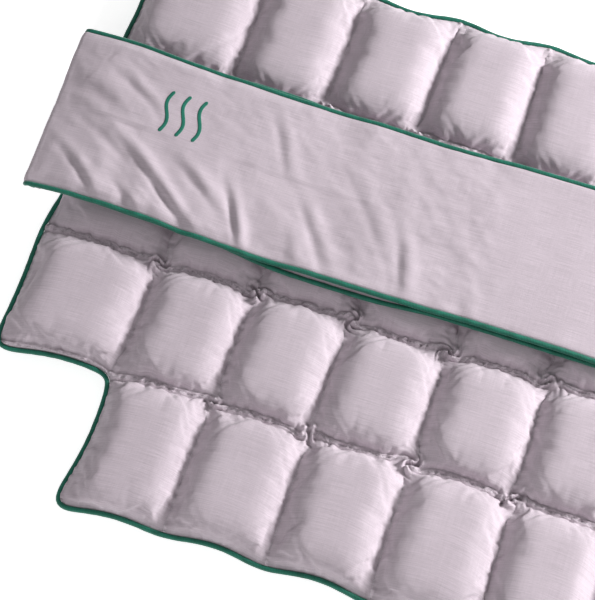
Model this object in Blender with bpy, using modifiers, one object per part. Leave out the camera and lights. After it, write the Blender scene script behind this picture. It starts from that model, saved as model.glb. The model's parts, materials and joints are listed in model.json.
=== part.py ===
"""Infrared sauna blanket: a quilted heating wrap with a wide sewn-on band whose two arms fold in.

Frame: X runs along the band, Y across it, Z up. The origin is on the floor, under the middle of the
blanket. The blanket is two mirrored halves that fold together about the middle seam.
"""

import math

import bmesh
import bpy
from mathutils import Vector

# Pocket grid
COLUMN = 0.100            # pitch of an inner column of pockets
END_COLUMN = 0.112        # width of the outermost column
INNER_COLUMNS = 5         # inner columns in each half
EDGE_ROW = 0.132          # height of the top and bottom rows
BODY_ROW = 0.122          # height of the row between the bottom row and the waist
WAIST_ROW = 0.115         # height of the two rows that the band covers
SHOULDER_MARGIN = 0.004   # run of a pocket's sloping flank beyond what the middle fold needs

# Heights and thicknesses
SEAM_HEIGHT = 0.016       # heater plane, where all the layers are sewn together
CROWN_HEIGHT = 0.042      # top of a filled pocket
CLOTH = 0.0006            # face and backing cloth
WEB = 0.0008              # wadding where a seam crushes it
CARRIER = 0.0005          # non-woven sheet under the heating wire
FOIL = 0.0003             # reflective sheet
WIRE_RADIUS = 0.0006      # heating wire and its leads
GAP = 0.0003              # clearance between neighbouring solids
EDGE_INSET = 0.012        # inner layers stop this far inside the blanket's edge
FOLD_INSET = 0.014        # and this far from the middle fold
FOLD_HALF_ANGLE = 45      # each half may lean this far into the middle fold, degrees

# Edge piping
PIPING_RADIUS = 0.0025

# Band
BAND_WIDTH = 0.180        # over its two pipings
BAND_CENTRE_Y = 0.064
BAND_OVERHANG = 0.046     # the folded end stands out this far past the blanket
BAND_PIPING_RADIUS = 0.0022
INTERLINING = 0.0030
RUN_GAP = 0.0024          # free height between the two runs of the band
ARM_SETBACK = 0.006       # free end of each arm, back from the middle fold's reach
ARM_CORNER = 0.014        # corner radius of an arm's free end
PATCH_LENGTH = 0.110      # hook and loop patches
PATCH_WIDTH = 0.130
PATCH_MARGIN = 0.014      # from the arm's end to the patch
HOOK_THICKNESS = 0.0015
LOOP_THICKNESS = 0.0014

# Printed heat mark: three upright waves
MARK_X = -0.526
MARK_Y = 0.088
MARK_HEIGHT = 0.052
MARK_PITCH = 0.017
MARK_STROKE = 0.0028
MARK_SWING = 0.0034
MARK_THICKNESS = 0.0002

# Heating wire
WIRE_MARGIN = 0.030       # bends of the wire stay this far inside the half
LEAD_INSET = 0.016        # the feed lead's distance inside the edge
LEAD_PITCH = 0.003        # feed lead to return lead
LEAD_TURN = 0.010         # the feed lead turns up this far inside the wire's end

# Thermal cut-outs and temperature sensor
CUTOUT_SIZE = Vector((0.020, 0.008, 0.0036))
CUTOUT_COLUMN = 3
SENSOR_LENGTH = 0.012
SENSOR_RADIUS = 0.0016
SLIT_CLEARANCE = 0.0006   # round a part that sits in the wadding

# Power inlet, at the end of the row above the bottom one
INLET_WIDTH = 0.044
INLET_DEPTH = 0.024
INLET_HEIGHT = 0.016
INLET_SIDE_WALL = 0.006
INLET_PLATE = 0.002
INLET_CLEARANCE = 0.0015  # housing to piping ends
TONGUE_DEPTH = 0.011
TONGUE_WIDTH = 0.036
TONGUE_THICKNESS = 0.0012
SOCKET_DEPTH = 0.014
RECESS_WIDTH = 0.024
RECESS_HEIGHT = 0.0064
RECESS_DEPTH = 0.011
PIN_RADIUS = 0.0007
PIN_LENGTH = 0.006
PIN_PITCH = 0.0055
PIN_COUNT = 4
SCREW_RADIUS = 0.0010
SCREW_HEAD_RADIUS = 0.0019
SCREW_HEAD_HEIGHT = 0.0012
SCREW_CLEARANCE = 0.0002
SCREW_REACH = 0.0095      # shank length
SCREW_DRIVE_RADIUS = 0.0008
SCREW_DRIVE_DEPTH = 0.0006
SCREW_SIDES = 16

SHARP_ANGLE = 40          # edges sharper than this stay sharp when a round piece is shaded, degrees

# Layout that follows from the sizes above
FOLD_SLOPE = math.tan(math.radians(FOLD_HALF_ANGLE))
SHOULDER = (CROWN_HEIGHT - SEAM_HEIGHT) / FOLD_SLOPE + SHOULDER_MARGIN
ROWS = [EDGE_ROW, BODY_ROW, WAIST_ROW, WAIST_ROW, EDGE_ROW]     # from the bottom edge up
HALF_LENGTH = INNER_COLUMNS * COLUMN + END_COLUMN
HALF_WIDTH = sum(ROWS) / 2
COLUMN_LINES = [COLUMN * i for i in range(INNER_COLUMNS + 1)] + [HALF_LENGTH]
ROW_LINES = [sum(ROWS[:i]) - HALF_WIDTH for i in range(len(ROWS) + 1)]
STEP_X = COLUMN_LINES[-2]       # the bottom row is one column short at each end
STEP_Y = ROW_LINES[1]

WIRE_Z = SEAM_HEIGHT + CARRIER + GAP + WIRE_RADIUS
WADDING_BASE = WIRE_Z + WIRE_RADIUS + GAP
FACE_VALLEY = WADDING_BASE + WEB + GAP
INSULATION_TOP = SEAM_HEIGHT - 2 * GAP - FOIL
BACKING_VALLEY = INSULATION_TOP - WEB - GAP
PIPING_Z = (FACE_VALLEY + BACKING_VALLEY) / 2
PIPING_OFFSET = PIPING_RADIUS + GAP

BAND_STACK = 2 * CLOTH + 2 * GAP + INTERLINING
BASE_Z = CROWN_HEIGHT + GAP                     # underside of the lower run
ARM_Z = BASE_Z + BAND_STACK + RUN_GAP           # underside of the upper run
FOLD_RADIUS = (BAND_STACK + RUN_GAP) / 2
FOLD_X = HALF_LENGTH + BAND_OVERHANG - FOLD_RADIUS - BAND_STACK / 2
FOLD_Z = BASE_Z + BAND_STACK / 2 + FOLD_RADIUS
ARM_START_X = FOLD_X - FOLD_RADIUS - BAND_STACK / 2 - GAP
BAND_CLOTH_HALF = BAND_WIDTH / 2 - 2 * BAND_PIPING_RADIUS - GAP
BAND_EDGE_HALF = BAND_WIDTH / 2 - BAND_PIPING_RADIUS
ARM_TOP = ARM_Z + BAND_STACK

PARTS = "infrared_sauna_blanket"
SIDES = {"left": -1, "right": 1}


def clear_of_fold(height):
    """How far from the middle a solid of this height must end, so that the halves can fold together."""
    return (height - SEAM_HEIGHT) / FOLD_SLOPE + GAP


ARM_END_X = clear_of_fold(ARM_TOP) + ARM_SETBACK


def reset_scene():
    for old in list(bpy.data.objects):
        bpy.data.objects.remove(old, do_unlink=True)
    for name in (PARTS, "cutters"):
        collection = bpy.data.collections.new(name)
        bpy.context.scene.collection.children.link(collection)


def material(name, colour, roughness, metallic=0.0):
    made = bpy.data.materials.new(name)
    made.use_nodes = True
    shader = made.node_tree.nodes["Principled BSDF"]
    shader.inputs["Base Color"].default_value = (*colour, 1.0)
    shader.inputs["Roughness"].default_value = roughness
    shader.inputs["Metallic"].default_value = metallic
    return made


def place(name, data, finish, collection=PARTS):
    """Links new object data into a collection under its node name."""
    made = bpy.data.objects.new(name, data)
    data.materials.append(finish)
    bpy.data.collections[collection].objects.link(made)
    return made


def mesh_object(name, bm, finish, collection=PARTS):
    bmesh.ops.recalc_face_normals(bm, faces=bm.faces)
    data = bpy.data.meshes.new(name)
    bm.to_mesh(data)
    bm.free()
    return place(name, data, finish, collection)


def smooth(made):
    made.data.shade_smooth()
    made.data.set_sharp_from_angle(angle=math.radians(SHARP_ANGLE))


def block(name, low, high, finish, collection=PARTS):
    """A box between two corners."""
    low, high = Vector(low), Vector(high)
    bm = bmesh.new()
    bmesh.ops.create_cube(bm, size=1.0)
    for vertex in bm.verts:
        vertex.co = low + (vertex.co + Vector((0.5, 0.5, 0.5))) * (high - low)
    return mesh_object(name, bm, finish, collection)


def rod(name, start, end, radius, sides, finish, collection=PARTS):
    """A round bar between two points."""
    start, end = Vector(start), Vector(end)
    bm = bmesh.new()
    bmesh.ops.create_cone(bm, cap_ends=True, segments=sides, radius1=radius, radius2=radius,
                          depth=(end - start).length)
    made = mesh_object(name, bm, finish, collection)
    smooth(made)
    made.location = (start + end) / 2
    made.rotation_mode = "QUATERNION"
    made.rotation_quaternion = (end - start).to_track_quat("Z", "Y")
    return made


def tube(name, points, radius, finish):
    """A round cord along a line of points."""
    curve = bpy.data.curves.new(name, "CURVE")
    curve.dimensions = "3D"
    curve.bevel_depth = radius
    curve.bevel_resolution = 2
    curve.use_fill_caps = True
    line = curve.splines.new("POLY")
    line.points.add(len(points) - 1)
    for target, point in zip(line.points, points):
        target.co = (*point, 1.0)
    return place(name, curve, finish)


def sheet(name, outline, low, thickness, finish):
    """A flat sheet with the given outline, its underside at height low."""
    curve = bpy.data.curves.new(name, "CURVE")
    curve.dimensions = "2D"
    curve.fill_mode = "BOTH"
    curve.extrude = thickness / 2
    edge = curve.splines.new("POLY")
    edge.points.add(len(outline) - 1)
    for target, (x, y) in zip(edge.points, outline):
        target.co = (x, y, 0.0, 1.0)
    edge.use_cyclic_u = True
    made = place(name, curve, finish)
    made.location.z = low + thickness / 2
    return made


def cut(target, cutter):
    cutter.hide_render = True
    cutter.display_type = "WIRE"
    modifier = target.modifiers.new("cut_" + cutter.name, "BOOLEAN")
    modifier.operation = "DIFFERENCE"
    modifier.object = cutter


def arc(centre, radius, first, last, steps):
    """Points on a circle in the XY plane, angles in degrees."""
    angles = [math.radians(first + (last - first) * i / steps) for i in range(steps + 1)]
    return [(centre[0] + radius * math.cos(a), centre[1] + radius * math.sin(a)) for a in angles]


def grid_lines(bounds, first_inset, last_inset, step, step_inset):
    """Grid positions across the pockets as (position, on a crown); a pocket has two flanks and a flat."""
    lines = []
    for low, high in zip(bounds, bounds[1:]):
        lines += [(low, False), (low + SHOULDER, True), (high - SHOULDER, True)]
    lines.append((bounds[-1], False))
    lines[0] = (lines[0][0] + first_inset, False)
    lines[-1] = (lines[-1][0] - last_inset, False)
    if step_inset:
        lines.append((step + step_inset, False))
    return sorted(lines)


def quilt_layer(name, side, low, high, fold_inset, edge_inset, finish):
    """One layer of one half. low and high are its (valley, crown) heights on its two sides."""
    sign = SIDES[side]
    xs = grid_lines(COLUMN_LINES, fold_inset, edge_inset, STEP_X, -edge_inset)
    ys = grid_lines(ROW_LINES, edge_inset, edge_inset, STEP_Y, edge_inset)
    bm = bmesh.new()
    bmesh.ops.create_grid(bm, x_segments=len(xs) - 1, y_segments=len(ys) - 1, size=0.5)
    crown = bm.verts.layers.int.new("crown")
    for vertex in bm.verts:
        x, x_crown = xs[round((vertex.co.x + 0.5) * (len(xs) - 1))]
        y, y_crown = ys[round((vertex.co.y + 0.5) * (len(ys) - 1))]
        vertex[crown] = int(x_crown and y_crown)
        vertex.co = (sign * x, y, low[vertex[crown]])
    missing = [face for face in bm.faces
               if abs(face.calc_center_median().x) > STEP_X - edge_inset
               and face.calc_center_median().y < STEP_Y + edge_inset]
    bmesh.ops.delete(bm, geom=missing, context="FACES")
    under = bm.faces[:]
    lifted = bmesh.ops.extrude_face_region(bm, geom=under)["geom"]
    for vertex in lifted:
        if isinstance(vertex, bmesh.types.BMVert):
            vertex.co.z = high[vertex[crown]]
    over = [face for face in lifted if isinstance(face, bmesh.types.BMFace)]
    under = [face for face in bm.faces
             if all(abs(v.co.z - low[v[crown]]) < 1e-7 for v in face.verts)]
    if high[0] == high[1]:
        bmesh.ops.dissolve_faces(bm, faces=over)
    if low[0] == low[1]:
        bmesh.ops.dissolve_faces(bm, faces=under)
    return mesh_object(name, bm, finish)


def half_outline(side, fold_inset, edge_inset):
    """Stepped outline of one half, inset all round."""
    sign = SIDES[side]
    inner, outer = fold_inset, HALF_LENGTH - edge_inset
    bottom, top = edge_inset - HALF_WIDTH, HALF_WIDTH - edge_inset
    corners = [(inner, bottom), (STEP_X - edge_inset, bottom), (STEP_X - edge_inset, STEP_Y + edge_inset),
               (outer, STEP_Y + edge_inset), (outer, top), (inner, top)]
    return [(sign * x, y) for x, y in corners]


def quilt_layers(side, looks):
    quilt_layer("face_cloth_" + side, side, (FACE_VALLEY, CROWN_HEIGHT - CLOTH),
                (FACE_VALLEY + CLOTH, CROWN_HEIGHT), clear_of_fold(FACE_VALLEY + CLOTH), 0.0, looks["cloth"])
    quilt_layer("pocket_wadding_" + side, side, (WADDING_BASE, WADDING_BASE),
                (WADDING_BASE + WEB, CROWN_HEIGHT - CLOTH - GAP), FOLD_INSET, EDGE_INSET, looks["wadding"])
    sheet("heater_carrier_" + side, half_outline(side, FOLD_INSET, EDGE_INSET),
          SEAM_HEIGHT, CARRIER, looks["carrier"])
    sheet("reflective_foil_" + side, half_outline(side, FOLD_INSET, EDGE_INSET),
          SEAM_HEIGHT - GAP - FOIL, FOIL, looks["foil"])
    quilt_layer("insulation_wadding_" + side, side, (INSULATION_TOP - WEB, CLOTH + GAP),
                (INSULATION_TOP, INSULATION_TOP), FOLD_INSET, EDGE_INSET, looks["wadding"])
    quilt_layer("backing_cloth_" + side, side, (BACKING_VALLEY - CLOTH, 0.0),
                (BACKING_VALLEY, CLOTH), GAP / 2, 0.0, looks["cloth"])


def wire_passes():
    """Heights of the straight passes of the heating wire, from the top edge down, with their outer ends."""
    passes = []
    for low, high in zip(ROW_LINES, ROW_LINES[1:]):
        outer = STEP_X if high <= STEP_Y + GAP else HALF_LENGTH
        for share in (0.25, 0.75):
            passes.append((low + share * (high - low), outer - WIRE_MARGIN))
    return passes[::-1]


def heating_wire(side, looks):
    """A serpentine from the middle fold at the top edge to the leads at the bottom edge."""
    sign = SIDES[side]
    passes = wire_passes()
    bend = min(y - below for (y, _), (below, _) in zip(passes, passes[1:])) / 3
    fold_x = clear_of_fold(WIRE_Z + WIRE_RADIUS)
    points = [(fold_x, passes[0][0])]
    for i in range(len(passes) - 1):
        y, outer = passes[i]
        below = passes[i + 1][0]
        if i % 2 == 0:
            points += arc((outer - bend, y - bend), bend, 90, 0, 3)
            points += arc((outer - bend, below + bend), bend, 0, -90, 3)
        else:
            points += arc((WIRE_MARGIN + bend, y - bend), bend, 90, 180, 3)
            points += arc((WIRE_MARGIN + bend, below + bend), bend, 180, 270, 3)
    points.append((fold_x if side == "left" else WIRE_MARGIN, passes[-1][0]))
    tube("heating_wire_" + side, [(sign * x, y, WIRE_Z) for x, y in points], WIRE_RADIUS, looks["wire"])


def leads(looks):
    """Feed and return leads in the right half. The feed lead meets the left half's wire at the fold."""
    inlet_y = inlet_centre_y()
    last = wire_passes()[-1][0]
    for name, inset, y in (("feed_lead", LEAD_INSET, inlet_y - LEAD_PITCH),
                           ("return_lead", LEAD_INSET + LEAD_PITCH, inlet_y + LEAD_PITCH)):
        points = [(HALF_LENGTH + PIPING_OFFSET, y), (HALF_LENGTH - inset, y),
                  (HALF_LENGTH - inset, STEP_Y + inset), (STEP_X - inset, STEP_Y + inset),
                  (STEP_X - inset, inset - HALF_WIDTH)]
        if name == "feed_lead":
            turn_x = WIRE_MARGIN - LEAD_TURN
            points += [(turn_x, inset - HALF_WIDTH), (turn_x, last),
                       (clear_of_fold(WIRE_Z + WIRE_RADIUS), last)]
        else:
            points += [(WIRE_MARGIN, inset - HALF_WIDTH), (WIRE_MARGIN, last - WIRE_RADIUS - GAP)]
        tube(name, [(x, y, WIRE_Z) for x, y in points], WIRE_RADIUS, looks["lead"])


def seated_in_wadding(side, name, low, high):
    """Cuts the slit in the pocket wadding that a small electrical part sits in."""
    grow = Vector((SLIT_CLEARANCE,) * 3)
    slit = block(name + "_slit", Vector(low) - grow, Vector(high) + grow,
                 bpy.data.materials["wadding"], "cutters")
    cut(bpy.data.objects["pocket_wadding_" + side], slit)


def cutouts_and_sensor(looks):
    x = COLUMN * (CUTOUT_COLUMN - 0.5)
    y = (ROW_LINES[1] + ROW_LINES[2]) / 2
    base = SEAM_HEIGHT + CARRIER + GAP
    for side, sign in SIDES.items():
        low = Vector((sign * x, y, base)) - Vector((CUTOUT_SIZE.x / 2, CUTOUT_SIZE.y / 2, 0))
        high = low + CUTOUT_SIZE
        body = block("thermal_cutout_" + side, low, high, looks["plastic_dark"])
        bevel = body.modifiers.new("edges", "BEVEL")
        bevel.width = CUTOUT_SIZE.z / 6
        bevel.segments = 1
        seated_in_wadding(side, "thermal_cutout_" + side, low, high)
    sensor_x = COLUMN * (CUTOUT_COLUMN - 1.5)
    sensor_y = (ROW_LINES[2] + ROW_LINES[3]) / 2
    centre = Vector((sensor_x, sensor_y, base + SENSOR_RADIUS))
    half = Vector((SENSOR_LENGTH / 2, 0, 0))
    rod("temperature_sensor", centre - half, centre + half, SENSOR_RADIUS, 12, looks["plastic_dark"])
    reach = Vector((SENSOR_LENGTH / 2, SENSOR_RADIUS, SENSOR_RADIUS))
    seated_in_wadding("right", "temperature_sensor", centre - reach, centre + reach)


def edge_piping(looks):
    """The corded edge: one length round the left half, and two on the right half that stop at the inlet."""
    inlet_y = inlet_centre_y()
    off = PIPING_OFFSET
    clear = INLET_WIDTH / 2 + INLET_CLEARANCE
    start = clear_of_fold(PIPING_Z + PIPING_RADIUS)
    top_corner = arc((HALF_LENGTH, HALF_WIDTH), off, 90, 0, 3)
    step_corner = arc((HALF_LENGTH, STEP_Y), off, 0, -90, 3)
    bottom_corner = arc((STEP_X, -HALF_WIDTH), off, 0, -90, 3)
    above = [(start, HALF_WIDTH + off)] + top_corner
    below = step_corner + [(STEP_X + off, STEP_Y - off)] + bottom_corner + [(start, -HALF_WIDTH - off)]

    def lay(name, points, sign):
        tube(name, [(sign * x, y, PIPING_Z) for x, y in points], PIPING_RADIUS, looks["piping"])

    lay("edge_piping_left", above + below, -1)
    lay("edge_piping_right_upper", above + [(HALF_LENGTH + off, inlet_y + clear)], 1)
    lay("edge_piping_right_lower", [(HALF_LENGTH + off, inlet_y - clear)] + below, 1)


def inlet_centre_y():
    return (ROW_LINES[1] + ROW_LINES[2]) / 2


def screw(name, x, y, top, looks):
    """A cap screw, head up, turned from its outline."""
    bm = bmesh.new()
    outline = [(0.0, 0.0), (SCREW_HEAD_RADIUS, 0.0), (SCREW_HEAD_RADIUS, -SCREW_HEAD_HEIGHT),
               (SCREW_RADIUS, -SCREW_HEAD_HEIGHT), (SCREW_RADIUS, -SCREW_HEAD_HEIGHT - SCREW_REACH),
               (0.0, -SCREW_HEAD_HEIGHT - SCREW_REACH)]
    ring = [bm.verts.new((x_out, 0.0, z)) for x_out, z in outline]
    for first, second in zip(ring, ring[1:]):
        bm.edges.new((first, second))
    data = bpy.data.meshes.new(name)
    bm.to_mesh(data)
    bm.free()
    made = place(name, data, looks["steel"])
    made.location = (x, y, top)
    turn = made.modifiers.new("turn", "SCREW")
    turn.use_smooth_shade = False
    turn.steps = turn.render_steps = SCREW_SIDES
    turn.use_merge_vertices = True
    turn.merge_threshold = 0.00001
    drive = rod(name + "_drive", (x, y, top - SCREW_DRIVE_DEPTH), (x, y, top + SCREW_DRIVE_DEPTH),
                SCREW_DRIVE_RADIUS, 6, looks["steel"], "cutters")
    cut(made, drive)


def inlet(looks):
    """Power inlet: two clamped shells, a socket block and its pins, outside the edge of the right half."""
    y = inlet_centre_y()
    near = HALF_LENGTH + PIPING_OFFSET
    far = near + INLET_DEPTH
    half = INLET_WIDTH / 2
    cavity = half - INLET_SIDE_WALL
    bottom, top = SEAM_HEIGHT - INLET_HEIGHT / 2, SEAM_HEIGHT + INLET_HEIGHT / 2
    lower = block("inlet_shell_lower", (near, y - half, bottom), (far, y + half, SEAM_HEIGHT - GAP / 2),
                  looks["plastic"])
    upper = block("inlet_shell_upper", (near, y - half, SEAM_HEIGHT + GAP / 2), (far, y + half, top),
                  looks["plastic"])
    room = block("inlet_room", (near - GAP, y - cavity, bottom + INLET_PLATE),
                 (far + GAP, y + cavity, top - INLET_PLATE), looks["plastic"], "cutters")
    cut(upper, room)
    cut(lower, room)
    tongue_top = SEAM_HEIGHT + CARRIER - GAP / 2
    block("inlet_tongue",
          (near - PIPING_OFFSET - TONGUE_DEPTH, y - TONGUE_WIDTH / 2, tongue_top - TONGUE_THICKNESS),
          (near - GAP, y + TONGUE_WIDTH / 2, tongue_top), looks["plastic"])
    socket_near = far - SOCKET_DEPTH
    socket = block("inlet_socket", (socket_near, y - cavity + GAP, bottom + INLET_PLATE + GAP),
                   (far, y + cavity - GAP, top - INLET_PLATE - GAP), looks["plastic_dark"])
    recess = block("inlet_recess", (far - RECESS_DEPTH, y - RECESS_WIDTH / 2, SEAM_HEIGHT - RECESS_HEIGHT / 2),
                   (far + GAP, y + RECESS_WIDTH / 2, SEAM_HEIGHT + RECESS_HEIGHT / 2),
                   looks["plastic"], "cutters")
    cut(socket, recess)
    for i in range(PIN_COUNT):
        pin_y = y + (i - (PIN_COUNT - 1) / 2) * PIN_PITCH
        foot = far - RECESS_DEPTH + GAP
        rod(f"inlet_pin_{i + 1}", (foot, pin_y, SEAM_HEIGHT), (foot + PIN_LENGTH, pin_y, SEAM_HEIGHT),
            PIN_RADIUS, 12, looks["brass"])
    x = near + INLET_DEPTH / 2
    for i, screw_y in enumerate((y - half + INLET_SIDE_WALL / 2, y + half - INLET_SIDE_WALL / 2)):
        seat = top - SCREW_HEAD_HEIGHT - GAP
        head = rod(f"screw_head_room_{i + 1}", (x, screw_y, seat - SCREW_CLEARANCE), (x, screw_y, top + GAP),
                   SCREW_HEAD_RADIUS + SCREW_CLEARANCE, 16, looks["plastic"], "cutters")
        shank = rod(f"screw_shank_room_{i + 1}", (x, screw_y, seat - SCREW_REACH - GAP), (x, screw_y, top + GAP),
                    SCREW_RADIUS + SCREW_CLEARANCE, SCREW_SIDES, looks["plastic"], "cutters")
        for shell, rooms in ((upper, (head, shank)), (lower, (shank,))):
            for room in rooms:
                cut(shell, room)
        screw(f"inlet_screw_{i + 1}", x, screw_y, top - GAP, looks)


def band_run(prefix, side, low, inner, outer, looks):
    """Three layers of one straight run of the band: lower cloth, interlining and upper cloth."""
    sign = SIDES[side]
    x1, x2 = sorted((sign * inner, sign * outer))
    y1, y2 = BAND_CENTRE_Y - BAND_CLOTH_HALF, BAND_CENTRE_Y + BAND_CLOTH_HALF
    z = low
    for layer, thickness, look in (("lower_cloth", CLOTH, "cloth"), ("interlining", INTERLINING, "wadding"),
                                   ("upper_cloth", CLOTH, "cloth")):
        block(f"{prefix}_{layer}_{side}", (x1, y1, z), (x2, y2, z + thickness), looks[look])
        z += thickness + GAP


def band_fold(side, looks):
    """The end of the band, where it turns back over itself."""
    sign = SIDES[side]
    outer, inner = FOLD_RADIUS + BAND_STACK / 2, FOLD_RADIUS - BAND_STACK / 2
    turn = arc((0.0, 0.0), outer, -90, 90, 8) + arc((0.0, 0.0), inner, 90, -90, 6)
    curve = bpy.data.curves.new("band_fold_" + side, "CURVE")
    curve.dimensions = "2D"
    curve.fill_mode = "BOTH"
    curve.extrude = BAND_CLOTH_HALF
    edge = curve.splines.new("POLY")
    edge.points.add(len(turn) - 1)
    for target, (x, z) in zip(edge.points, turn):
        target.co = (sign * x, z, 0.0, 1.0)
    edge.use_cyclic_u = True
    made = place("band_fold_" + side, curve, looks["cloth"])
    made.location = (sign * (FOLD_X + GAP), BAND_CENTRE_Y, FOLD_Z)
    made.rotation_euler.x = math.radians(90)


def base_piping(side, looks):
    """Piping along both edges of the lower run, and on round the fold."""
    sign = SIDES[side]
    inner = clear_of_fold(BASE_Z + BAND_STACK)
    turn = [(FOLD_X + x, FOLD_Z + z) for x, z in arc((0.0, 0.0), FOLD_RADIUS, -90, 90, 8)]
    for edge, y in (("upper", BAND_CENTRE_Y + BAND_EDGE_HALF), ("lower", BAND_CENTRE_Y - BAND_EDGE_HALF)):
        points = [(sign * x, y, z) for x, z in [(inner, turn[0][1])] + turn]
        tube(f"base_piping_{edge}_{side}", points, BAND_PIPING_RADIUS, looks["piping"])


def arm_piping(side, looks):
    """Piping round the three free edges of an arm."""
    sign = SIDES[side]
    z = ARM_Z + BAND_STACK / 2
    end = ARM_END_X + BAND_PIPING_RADIUS
    corner = end + ARM_CORNER
    top, bottom = BAND_CENTRE_Y + BAND_EDGE_HALF, BAND_CENTRE_Y - BAND_EDGE_HALF
    points = ([(ARM_START_X, top)] + arc((corner, top - ARM_CORNER), ARM_CORNER, 90, 180, 4)
              + arc((corner, bottom + ARM_CORNER), ARM_CORNER, 180, 270, 4) + [(ARM_START_X, bottom)])
    tube("arm_piping_" + side, [(sign * x, y, z) for x, y in points], BAND_PIPING_RADIUS, looks["piping"])


def arm_layers(side, looks):
    """The upper run's three layers, with round corners at the free end."""
    sign = SIDES[side]
    end = ARM_END_X + 2 * BAND_PIPING_RADIUS + GAP
    radius = ARM_CORNER - BAND_PIPING_RADIUS - GAP
    top, bottom = BAND_CENTRE_Y + BAND_CLOTH_HALF, BAND_CENTRE_Y - BAND_CLOTH_HALF
    outline = ([(ARM_START_X, top)] + arc((end + radius, top - radius), radius, 90, 180, 4)
               + arc((end + radius, bottom + radius), radius, 180, 270, 4) + [(ARM_START_X, bottom)])
    outline = [(sign * x, y) for x, y in outline]
    z = ARM_Z
    for layer, thickness, look in (("lower_cloth", CLOTH, "cloth"), ("interlining", INTERLINING, "wadding"),
                                   ("upper_cloth", CLOTH, "cloth")):
        sheet(f"arm_{layer}_{side}", outline, z, thickness, looks[look])
        z += thickness + GAP


def fastener_patches(looks):
    """Hook patch under the left arm's end, loop patch on top of the right arm's end."""
    start = ARM_END_X + 2 * BAND_PIPING_RADIUS + PATCH_MARGIN
    end = start + PATCH_LENGTH
    y1, y2 = BAND_CENTRE_Y - PATCH_WIDTH / 2, BAND_CENTRE_Y + PATCH_WIDTH / 2
    hook_top = ARM_Z - GAP
    block("hook_patch", (-end, y1, hook_top - HOOK_THICKNESS), (-start, y2, hook_top), looks["hook"])
    loop_low = ARM_TOP + GAP
    block("loop_patch", (start, y1, loop_low), (end, y2, loop_low + LOOP_THICKNESS), looks["hook"])


def heat_mark(looks):
    """Three upright waves printed on the left arm, each a bent strip of film."""
    low = ARM_TOP + GAP
    steps = 12
    for i in range(3):
        bm = bmesh.new()
        bmesh.ops.create_grid(bm, x_segments=1, y_segments=steps, size=0.5)
        for vertex in bm.verts:
            phase = (vertex.co.y + 0.5) * 2 * math.pi
            x = MARK_X + (i - 1) * MARK_PITCH + MARK_SWING * math.sin(phase) + vertex.co.x * MARK_STROKE
            vertex.co = (x, MARK_Y + vertex.co.y * MARK_HEIGHT, low)
        raised = bmesh.ops.extrude_face_region(bm, geom=bm.faces[:])["geom"]
        for vertex in raised:
            if isinstance(vertex, bmesh.types.BMVert):
                vertex.co.z += MARK_THICKNESS
        mesh_object(f"heat_mark_{i + 1}", bm, looks["print"])


def band(looks):
    base_inner = clear_of_fold(BASE_Z + BAND_STACK)
    for side in SIDES:
        band_run("base", side, BASE_Z, base_inner, FOLD_X, looks)
        band_fold(side, looks)
        base_piping(side, looks)
        arm_layers(side, looks)
        arm_piping(side, looks)
    reach = base_inner - GAP
    block("band_middle", (-reach, BAND_CENTRE_Y - BAND_CLOTH_HALF, BASE_Z),
          (reach, BAND_CENTRE_Y + BAND_CLOTH_HALF, BASE_Z + BAND_STACK), looks["cloth"])
    fastener_patches(looks)
    heat_mark(looks)


def hinge(name, location, members, parent=None):
    """An empty on a joint's axis that carries the pieces which turn about it."""
    axis = bpy.data.objects.new(name, None)
    axis.location = location
    bpy.data.collections[PARTS].objects.link(axis)
    carried = [obj for obj in bpy.data.collections[PARTS].objects
               if obj.type != "EMPTY" and obj.parent is None and members(obj.name)]
    if parent:
        carried.append(axis)
    bpy.context.view_layer.update()
    for obj in carried:
        carrier = parent if obj == axis else axis
        obj.parent = carrier
        obj.matrix_parent_inverse = carrier.matrix_world.inverted()
    bpy.context.view_layer.update()
    return axis


def on_arm(name):
    return name.startswith(("arm_", "hook_", "loop_", "heat_mark_"))


def joints():
    """The right half stays still. The left half folds over it, and each arm opens from its half."""
    left_half = hinge("left_half_axis", (0.0, 0.0, SEAM_HEIGHT),
                      lambda name: name.endswith("_left") and not on_arm(name))
    hinge("left_arm_axis", (-FOLD_X, BAND_CENTRE_Y, FOLD_Z),
          lambda name: on_arm(name) and not name.endswith("_right") and name != "loop_patch", left_half)
    hinge("right_arm_axis", (FOLD_X, BAND_CENTRE_Y, FOLD_Z), on_arm)


def main():
    reset_scene()
    looks = {
        "cloth": material("cloth", (0.56, 0.49, 0.54), 0.85),
        "wadding": material("wadding", (0.85, 0.84, 0.82), 0.95),
        "carrier": material("carrier", (0.75, 0.75, 0.72), 0.9),
        "foil": material("foil", (0.80, 0.81, 0.83), 0.25, 1.0),
        "wire": material("wire", (0.05, 0.05, 0.05), 0.45),
        "lead": material("lead", (0.60, 0.10, 0.08), 0.5),
        "piping": material("piping", (0.01, 0.18, 0.12), 0.5),
        "plastic": material("plastic", (0.36, 0.31, 0.35), 0.5),
        "plastic_dark": material("plastic_dark", (0.03, 0.03, 0.035), 0.45),
        "brass": material("brass", (0.75, 0.58, 0.30), 0.3, 1.0),
        "steel": material("steel", (0.60, 0.60, 0.62), 0.3, 1.0),
        "hook": material("hook", (0.30, 0.26, 0.29), 0.95),
        "print": material("print", (0.02, 0.20, 0.13), 0.55),
    }
    for side in SIDES:
        quilt_layers(side, looks)
        heating_wire(side, looks)
    leads(looks)
    cutouts_and_sensor(looks)
    edge_piping(looks)
    inlet(looks)
    band(looks)
    joints()


main()
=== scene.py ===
import json
import math

import bpy
import numpy as np
from mathutils import Matrix, Vector


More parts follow.
